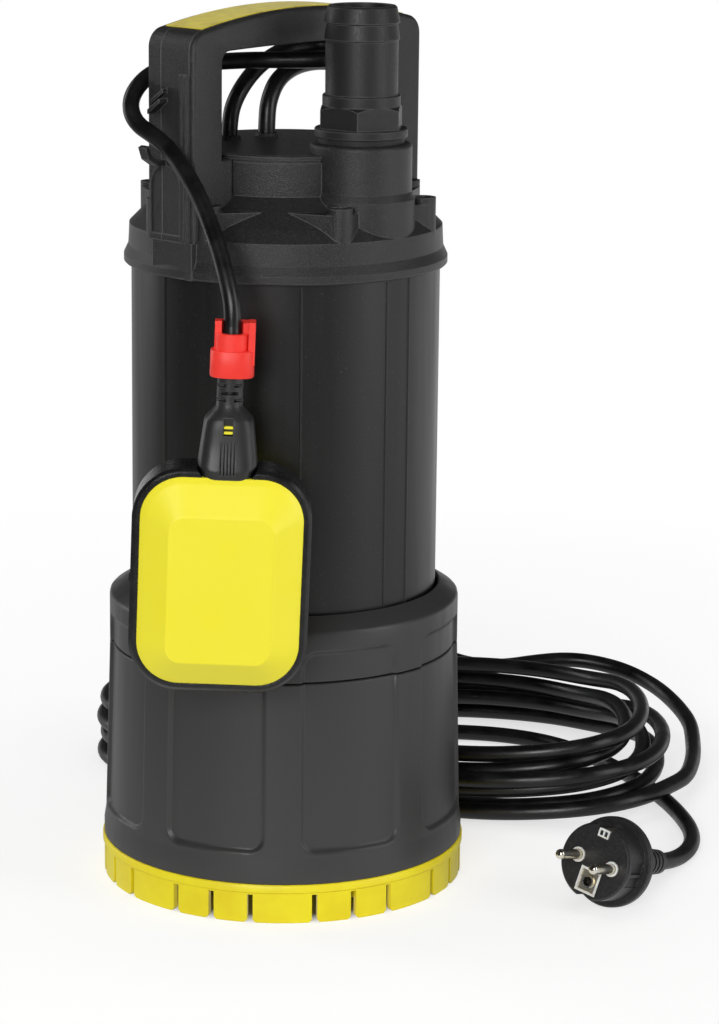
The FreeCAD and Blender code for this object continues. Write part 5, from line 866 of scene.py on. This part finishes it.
def cord_clip():
    """Red clip: a rounded band, a round collar over it and an open channel behind the cord."""
    clip = loft("cord_clip", [(CLIP_FOOT, 9.6, 7.6, 2.5), (CLIP_FOOT + 0.5, 9.9, 7.9, 2.5),
                              (CLIP_STEP - 0.5, 9.9, 7.9, 2.5), (CLIP_STEP, 9.6, 7.6, 2.5)], CLIP_BAND_X)
    collar = loft("collar", [(CLIP_STEP - 2, 7.5, 7.2, 2.2), (CLIP_RIM - 0.4, 7.5, 7.2, 2.2),
                             (CLIP_RIM, 7.1, 6.8, 2.2)])
    clip = combined(clip, collar, "UNION")
    for name, corners in CLIP_BLOCKS.items():
        clip = combined(clip, boxes(name, corners), "UNION")
    bore = skinned("bore", ring_rows([(CLIP_BORE_R, CLIP_FOOT - 2), (CLIP_BORE_R, CLIP_HEAD + 2)]))
    clip = combined(clip, bore, "DIFFERENCE")
    slot = boxes("slot", (-4.6, 4.9, -12, 0, CLIP_RIM + 0.1, CLIP_HEAD + 2))
    return in_place(combined(clip, slot, "DIFFERENCE"), float_place())


# Plug's pale collars, earth frame and contacts, in the plug's own frame
PIN_SPACING, PIN_R = 19.0, 2.4
EARTH_UP = 10.0
EARTH_FRAME = (-5.7, 5.7, -15.8, -3.8)
EARTH_FRAME_WALL = 1.1
EARTH_TUBE_R, EARTH_HOLE_R = 2.3, 3.0
CONTACT_Y, CONTACT_W, CONTACT_H, CONTACT_T = 14.2, 5.8, 4.0, 0.8
STRIP_Y, STRIP_W, STRIP_T = 15.6, 6.0, 0.8


def face_frame():
    """Plug's axes, turned about its cord as its pins are."""
    return plug_frame() @ Matrix.Rotation(math.radians(PLUG_ROLL), 4, "Z")


def pale_trim():
    """Collars round the pins, a square frame round the earth socket and the side contact's rim."""
    rows = [(PIN_R + 0.15, -0.4), (PIN_R + 1.2, -0.4), (PIN_R + 1.2, 1.5), (PIN_R + 0.15, 1.5)]
    x0, x1, y0, y1 = EARTH_FRAME
    wall = EARTH_FRAME_WALL
    trim = combined(boxes("plug_trim", (x0, x1, y0, y1, -0.3, 1.6)),
                    boxes("opening", (x0 + wall, x1 - wall, y0 + wall, y1 - wall, -2, 3)), "DIFFERENCE")
    half_w, half_h, t = CONTACT_W / 2, CONTACT_H / 2, CONTACT_T
    low, high = CONTACT_Y - half_h, CONTACT_Y + half_h
    gaps = [(t - half_w, -t / 2, low + t, high - t, -2, 2), (t / 2, half_w - t, low + t, high - t, -2, 2)]
    rim = combined(boxes("contact_rim", (-half_w, half_w, low, high, -0.6, 0.9)), boxes("gaps", *gaps),
                   "DIFFERENCE")
    trim = combined(trim, rim, "UNION")
    for side in (-1, 1):
        rings = [[(x + side * PIN_SPACING / 2, y, z) for x, y, z in ring] for ring in ring_rows(rows, 32)]
        trim = combined(trim, skinned("collar", rings, closed=True), "UNION")
    return in_place(trim, face_frame())


def earth_contacts():
    """Sprung metal in the earth socket and in the two side slots."""
    x0, x1, y0, y1 = EARTH_FRAME
    wall = EARTH_FRAME_WALL
    plate = boxes("plug_earth", (x0 + wall, x1 - wall, y0 + wall, y1 - wall, 0.6, 1.5))
    rows = [(EARTH_TUBE_R, -0.4), (EARTH_HOLE_R, -0.4), (EARTH_HOLE_R, 6.0), (EARTH_TUBE_R, 6.0)]
    rings = [[(x, y - EARTH_UP, z) for x, y, z in ring] for ring in ring_rows(rows, 32)]
    plate = combined(plate, skinned("hole", [[(x * 0.9, (y + EARTH_UP) * 0.9 - EARTH_UP, 5 * j)
                                              for x, y, z in rings[1]] for j in (-1, 1)]), "DIFFERENCE")
    plate = combined(plate, skinned("socket", rings, closed=True), "UNION")
    strips = [(-STRIP_W / 2, STRIP_W / 2, y - STRIP_T / 2, y + STRIP_T / 2, 0.6, 14.0)
              for y in (-STRIP_Y, STRIP_Y)]
    return in_place(combined(plate, boxes("strips", *strips), "UNION"), face_frame())


def finished(item, material, body, slot, *nodes):
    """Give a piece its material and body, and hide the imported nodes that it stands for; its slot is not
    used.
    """
    item.data.materials.append(material)
    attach(item, body)
    if nodes:
        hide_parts(*nodes)
    return item


def dress(material, *names):
    """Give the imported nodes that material."""
    for name in names:
        slots = NODES[name].data.materials
        slots.clear()
        slots.append(material)


def in_colours(make, name, *colours, **settings):
    """Material from the function that makes it, its name and its sRGB hex colours."""
    return make(name, *(from_hex(text) for text in colours), **settings)


def plug_trim():
    """Pieces that stand for the plug's pale insert and its earth contacts."""
    white = in_colours(acetal, "white_polyamide", "#F0EFEA", "#DEDCD4")
    nickel = in_colours(nickel_plated_brass, "nickel_plated_contact", "#E2E0D8", "#CDBE96", rough=0.24)
    return [finished(pale_trim(), white, "pump", "plug_white", "plug_insert"),
            finished(earth_contacts(), nickel, "pump", "nickel_brass", "plug_contacts")]


class PUMP_OT_housing(bpy.types.Operator):
    """Finish the black mouldings of head, deck, handle and hose tail"""
    bl_idname = "pump.housing"
    bl_label = "Housing"

    def execute(self, context):
        s = context.scene.pump_finish
        textured = spark_textured_polypropylene("textured_polypropylene", s.housing, s.housing_glint)
        dress(textured, "head_cover", "deck_lid", "handle_core", "handle_rear_shell")
        finished(handle_front(), textured, "pump", "housing_black", "handle_front_shell")
        tail = spark_textured_polypropylene("hose_tail_polypropylene", s.housing, s.housing,
                                            depth_mm=0.04, grain_mm=0.8, rough=0.48)
        dress(tail, "hose_tail")
        return {"FINISHED"}


class PUMP_OT_shroud(bpy.types.Operator):
    """Build the panelled shroud and collar and finish them with the jacket"""
    bl_idname = "pump.shroud"
    bl_label = "Shroud and jacket"

    def execute(self, context):
        s = context.scene.pump_finish
        jacket = satin_polypropylene("jacket_polypropylene", s.jacket, s.shroud_fleck)
        dress(jacket, "body_jacket", "stage_casing")
        finished(jacket_ribs(), jacket, "pump", "shroud_black")
        shroud = satin_polypropylene("shroud_polypropylene", s.shroud, s.shroud_fleck)
        finished(shroud_skirt(), shroud, "pump", "shroud_black", "lower_shroud")
        finished(shroud_collar_ring(), shroud, "pump", "shroud_black", "shroud_collar")
        return {"FINISHED"}


class PUMP_OT_bright_mouldings(bpy.types.Operator):
    """Finish the yellow base, grip and float, the red clip and the cord in it"""
    bl_idname = "pump.bright_mouldings"
    bl_label = "Bright mouldings"

    def execute(self, context):
        s = context.scene.pump_finish
        yellow = coloured_polypropylene("yellow_polypropylene", s.base, s.base_shadow)
        dress(yellow, "strainer_base")
        finished(base_rim(), yellow, "pump", "base_yellow")
        dress(blow_moulded_shell("yellow_float_shell", s.shell, s.shell_shadow),
              "float_front_shell", "float_rear_shell", "neck_catches")
        dress(grip_elastomer("yellow_elastomer", s.grip, s.grip_shadow), "grip_insert")
        dress(polished_polypropylene("float_rim_polypropylene", s.rim, s.rim_haze), "float_frame")
        neck = satin_polypropylene("float_neck_polypropylene", s.neck, s.shroud_fleck)
        finished(float_boot(), neck, "float", "float_black", "float_neck")
        red = coloured_polypropylene("red_polyamide", s.clip, s.clip_shadow, 0.44)
        finished(cord_clip(), red, "float", "clip_red", "cable_clip")
        cords = context.scene.pump_cords
        sheath = cable_sheath("chloroprene_cord_end", cords.sheath, cords.bloom)
        finished(cord_end(), sheath, "float", "cable_rubber")
        return {"FINISHED"}


class PUMP_OT_rubber(bpy.types.Operator):
    """Finish the glands, seals and plug moulding"""
    bl_idname = "pump.rubber"
    bl_label = "Rubber parts"

    def execute(self, context):
        dress(in_colours(moulded_rubber, "nitrile_rubber", "#161617", "#2A2A2B"),
              "float_gland", "mains_gland", "outlet_o_ring", "jacket_seal")
        dress(in_colours(moulded_rubber, "plug_rubber", "#1C1C1D", "#333334", rough=0.4), "plug_body")
        return {"FINISHED"}


class PUMP_OT_metal(bpy.types.Operator):
    """Finish pins, screws, shaft, motor and bearings"""
    bl_idname = "pump.metal"
    bl_label = "Metal parts"

    def execute(self, context):
        dress(in_colours(nickel_plated_brass, "nickel_plated_brass", "#DCDAD2", "#CDBE96"), "plug_pins")
        dress(in_colours(turned_steel, "stainless_screw_steel", "#A9AAAB", rough=0.34), "base_screws",
              "casing_screws", "head_screws", "handle_screws", "impeller_nut", "switch_lever")
        dress(in_colours(turned_steel, "ground_shaft_steel", "#B9BABB", rough=0.22),
              "shaft", "shaft_sleeves")
        dress(in_colours(turned_steel, "drawn_stainless_can", "#B2B3B3", rough=0.3, line_mm=0.6),
              "motor_can")
        dress(in_colours(stacked_laminations, "stator_laminations", "#6E7072", "#3A3C3E"), "stator_core")
        dress(in_colours(enamelled_winding, "copper_winding", "#B8602E", "#5E2A12"), "stator_windings")
        dress(in_colours(cast_aluminium, "cast_aluminium", "#B6B8B9", "#96989A"),
              "motor_flange", "motor_top_cap", "rotor_core")
        dress(in_colours(bearing_steel, "honed_bearing_steel", "#C4C5C6"), "lower_bearing_inner",
              "lower_bearing_outer", "upper_bearing_inner", "upper_bearing_outer", "switch_ball")
        return {"FINISHED"}


class PUMP_OT_hydraulics(bpy.types.Operator):
    """Finish the stages, seal and the small parts inside"""
    bl_idname = "pump.hydraulics"
    bl_label = "Inner parts"

    def execute(self, context):
        dress(in_colours(acetal, "natural_acetal", "#D9D5C6", "#C6C1AE"),
              "impellers", "diffusers", "suction_cover")
        dress(in_colours(polished_ceramic, "alumina_seal", "#EFEDE6", "#DEDBD0"), "seal_seat")
        dress(in_colours(moulded_rubber, "carbon_seal", "#202022", "#39393C"), "rotating_seal")
        dress(in_colours(acetal, "capacitor_polypropylene", "#E4E4E0", "#D2D2CC", rough=0.35), "capacitor")
        dress(in_colours(coloured_polypropylene, "switch_polyamide", "#2B3036", "#22262B"),
              "microswitch", "ball_race")
        return {"FINISHED"}


class PUMP_OT_studio(bpy.types.Operator):
    """Set up the floor, the soft lamps, the white surround and the camera"""
    bl_idname = "pump.studio"
    bl_label = "Studio"

    def execute(self, context):
        s = context.scene.pump_studio
        build_floor(s.floor_size)
        build_world()
        build_lamps(s)
        build_camera(s)
        context.scene.view_settings.view_transform = "Standard"
        return {"FINISHED"}


# Studio, in metres. White sweep as gloss mirrors it: the side where it is brightest, and how bright
# it is towards that side and above the floor, each as a range and the brightness at its two ends
SWEEP_BRIGHT_SIDE = (0.75, 0.66, 0.0)
SWEEP_RISE, SWEEP_TOP = (-0.6, 0.3, 0.1, 0.7), (0.3, 1.0, 0.0, 0.25)
SWEEP_EDGE = (-0.02, 0.1, 1.0, 0.06)
FILL = (0.0, 0.8, 0.62, 0.24)
# Floor by distance from the middle: its glow past the base's edge, where plain white takes over
# and where its mirror image turns into the sweep's, and that image's brightness to the front
GLOW_PAST_BASE = (0.076, 0.088, 0.0, 0.65)
WHITE_FROM = (0.35, 0.8, 0.0, 1.0)
MIRRORED_FROM = (0.35, 0.9, 1.0, 0.0)
MIRRORED_FRONT = (-0.85, 0.1, 1.0, 0.5)
WHITE = (1.0, 1.0, 1.0, 1.0)
LAMP_TARGET = (0, 0, 0.2)
# Lamps: name, place, width, height, the setting that gives the power and the share of it
LAMPS = (("front_softbox", (-0.6, -2.4, 0.95), 1.1, 1.1, "key_power", 1.06),
         ("right_strip", (1.8, -0.9, 0.7), 0.9, 1.8, "side_power", 1.4),
         ("left_strip", (-1.7, 0.9, 0.8), 0.5, 1.8, "side_power", 1.0),
         ("top_softbox", (0, 0.2, 2.4), 1.6, 1.6, "key_power", 0.2))


def painted_board():
    """Painted board: white to the camera, with the soft shadow of what stands on it, and dark under
    the base, where no light gets in."""
    material, tree, place = new_material("white_painted_board")
    away = add(tree, "VectorMath", {0: place}, operation="LENGTH")
    coat = add(tree, "BsdfDiffuse", {"Color": from_hex("#B9B9B9")})
    glow = add(tree, "Emission", {"Color": WHITE, "Strength": (away, *GLOW_PAST_BASE)})
    lit = add(tree, "AddShader", {0: coat, 1: glow})
    white = add(tree, "Emission", {"Color": WHITE, "Strength": 1.0})
    near = add(tree, "MixShader", {"Fac": (away, *WHITE_FROM), 1: lit, 2: white})
    outward = add(tree, "VectorMath", {0: place}, operation="NORMALIZE")
    forward = add(tree, "SeparateXYZ", {"Vector": outward}, take="Y")
    board = add(tree, "Mix", {"Factor": (away, *MIRRORED_FROM), "A": sweep_brightness(tree, outward),
                              "B": (forward, *MIRRORED_FRONT)}, data_type="FLOAT")
    sheen = add(tree, "Emission", {"Color": WHITE, "Strength": board})
    rays = add(tree, "LightPath").node.outputs
    plain = add(tree, "MixShader", {"Fac": mirrored_rays(tree, rays), 1: coat, 2: sheen})
    seen = add(tree, "MixShader", {"Fac": rays["Is Camera Ray"], 1: plain, 2: near})
    add(tree, "OutputMaterial", {"Surface": seen})
    return material


def build_floor(size):
    mesh = bmesh.new()
    bmesh.ops.create_grid(mesh, x_segments=1, y_segments=1, size=size / 2)
    data = bpy.data.meshes.new("floor")
    mesh.to_mesh(data)
    mesh.free()
    data.materials.append(painted_board())
    linked("floor", data)


def mirrored_rays(tree, rays):
    return add(tree, "Math", {0: rays["Is Glossy Ray"], 1: rays["Is Transmission Ray"]},
               operation="MAXIMUM")


def sweep_brightness(tree, direction):
    """Brightness of the white sweep as gloss shows it: full behind the right, dim at the left front."""
    toward = add(tree, "VectorMath", {0: direction, 1: SWEEP_BRIGHT_SIDE}, operation="DOT_PRODUCT")
    return add(tree, "Math", {0: (toward, *SWEEP_RISE), 1: (toward, *SWEEP_TOP)}, operation="ADD")


def build_world():
    world = bpy.data.worlds.new("white_surround")
    bpy.context.scene.world = world
    world.use_nodes = True
    tree = world.node_tree
    tree.nodes.clear()
    direction = add(tree, "TexCoord", take="Generated")
    upward = add(tree, "SeparateXYZ", {"Vector": direction}, take="Z")
    level = add(tree, "Math", {0: sweep_brightness(tree, direction), 1: (upward, *SWEEP_EDGE)},
                operation="MULTIPLY")
    fill = add(tree, "Background", {"Color": WHITE, "Strength": (upward, *FILL)})
    sweep = add(tree, "Background", {"Color": WHITE, "Strength": level})
    white = add(tree, "Background", {"Color": WHITE, "Strength": 1.0})
    rays = add(tree, "LightPath").node.outputs
    unseen = add(tree, "MixShader", {"Fac": mirrored_rays(tree, rays), 1: fill, 2: sweep})
    seen = add(tree, "MixShader", {"Fac": rays["Is Camera Ray"], 1: unseen, 2: white})
    add(tree, "OutputWorld", {"Surface": seen})


def build_lamps(s):
    for name, place, width, height, source, share in LAMPS:
        data = bpy.data.lights.new(name, "AREA")
        data.shape = "RECTANGLE"
        data.size, data.size_y = width, height
        data.energy = getattr(s, source) * share
        lamp = linked(name, data)
        lamp.location = place
        lamp.rotation_mode = "QUATERNION"
        lamp.rotation_quaternion = (Vector(LAMP_TARGET) - Vector(place)).to_track_quat("-Z", "Y")
        lamp.visible_camera = False
        lamp.visible_glossy = name != "top_softbox"


def build_camera(s):
    data = bpy.data.cameras.new("photograph_camera")
    data.sensor_width = 36.0
    data.lens = s.lens
    data.clip_start, data.clip_end = 0.05, 50.0
    forward = Vector((math.sin(s.pan) * math.cos(s.tilt), math.cos(s.pan) * math.cos(s.tilt),
                      -math.sin(s.tilt)))
    right = Vector((math.cos(s.pan), -math.sin(s.pan), 0))
    up = right.cross(forward)
    right, up = (right * math.cos(s.roll) + up * math.sin(s.roll),
                 up * math.cos(s.roll) - right * math.sin(s.roll))
    place = Matrix((right, up, -forward)).transposed().to_4x4()
    place.translation = (0, -s.distance, s.height)
    camera = linked("photograph_camera", data)
    camera.matrix_world = place
    bpy.context.scene.camera = camera


class PUMP_PT_panel(bpy.types.Panel):
    """Sizes, colours and building steps of the pump"""
    bl_idname = "PUMP_PT_panel"
    bl_label = "Sump pump"
    bl_space_type = "VIEW_3D"
    bl_region_type = "UI"
    bl_category = "Sump pump"

    def draw(self, context):
        for group in (context.scene.pump_finish, context.scene.pump_cords, context.scene.pump_studio):
            box = self.layout.box()
            for name in group.__annotations__:
                box.prop(group, name)
        for step in STEPS:
            self.layout.operator(step.bl_idname)


GROUPS = {"pump_finish": PumpFinishSettings, "pump_cords": CordSettings, "pump_studio": StudioSettings}
STEPS = (PUMP_OT_studio, PUMP_OT_mains_lead, PUMP_OT_float_cord, PUMP_OT_housing, PUMP_OT_shroud,
         PUMP_OT_bright_mouldings, PUMP_OT_rubber, PUMP_OT_metal, PUMP_OT_hydraulics)


def register():
    for name, group in GROUPS.items():
        bpy.utils.register_class(group)
        setattr(bpy.types.Scene, name, bpy.props.PointerProperty(type=group))
    for item in (*STEPS, PUMP_PT_panel):
        bpy.utils.register_class(item)


def unregister():
    for item in (PUMP_PT_panel, *reversed(STEPS)):
        bpy.utils.unregister_class(item)
    for name, group in GROUPS.items():
        delattr(bpy.types.Scene, name)
        bpy.utils.unregister_class(group)


def main():
    register()
    for step in STEPS:
        category, name = step.bl_idname.split(".")
        getattr(getattr(bpy.ops, category), name)()


if __name__ == "__main__":
    main()
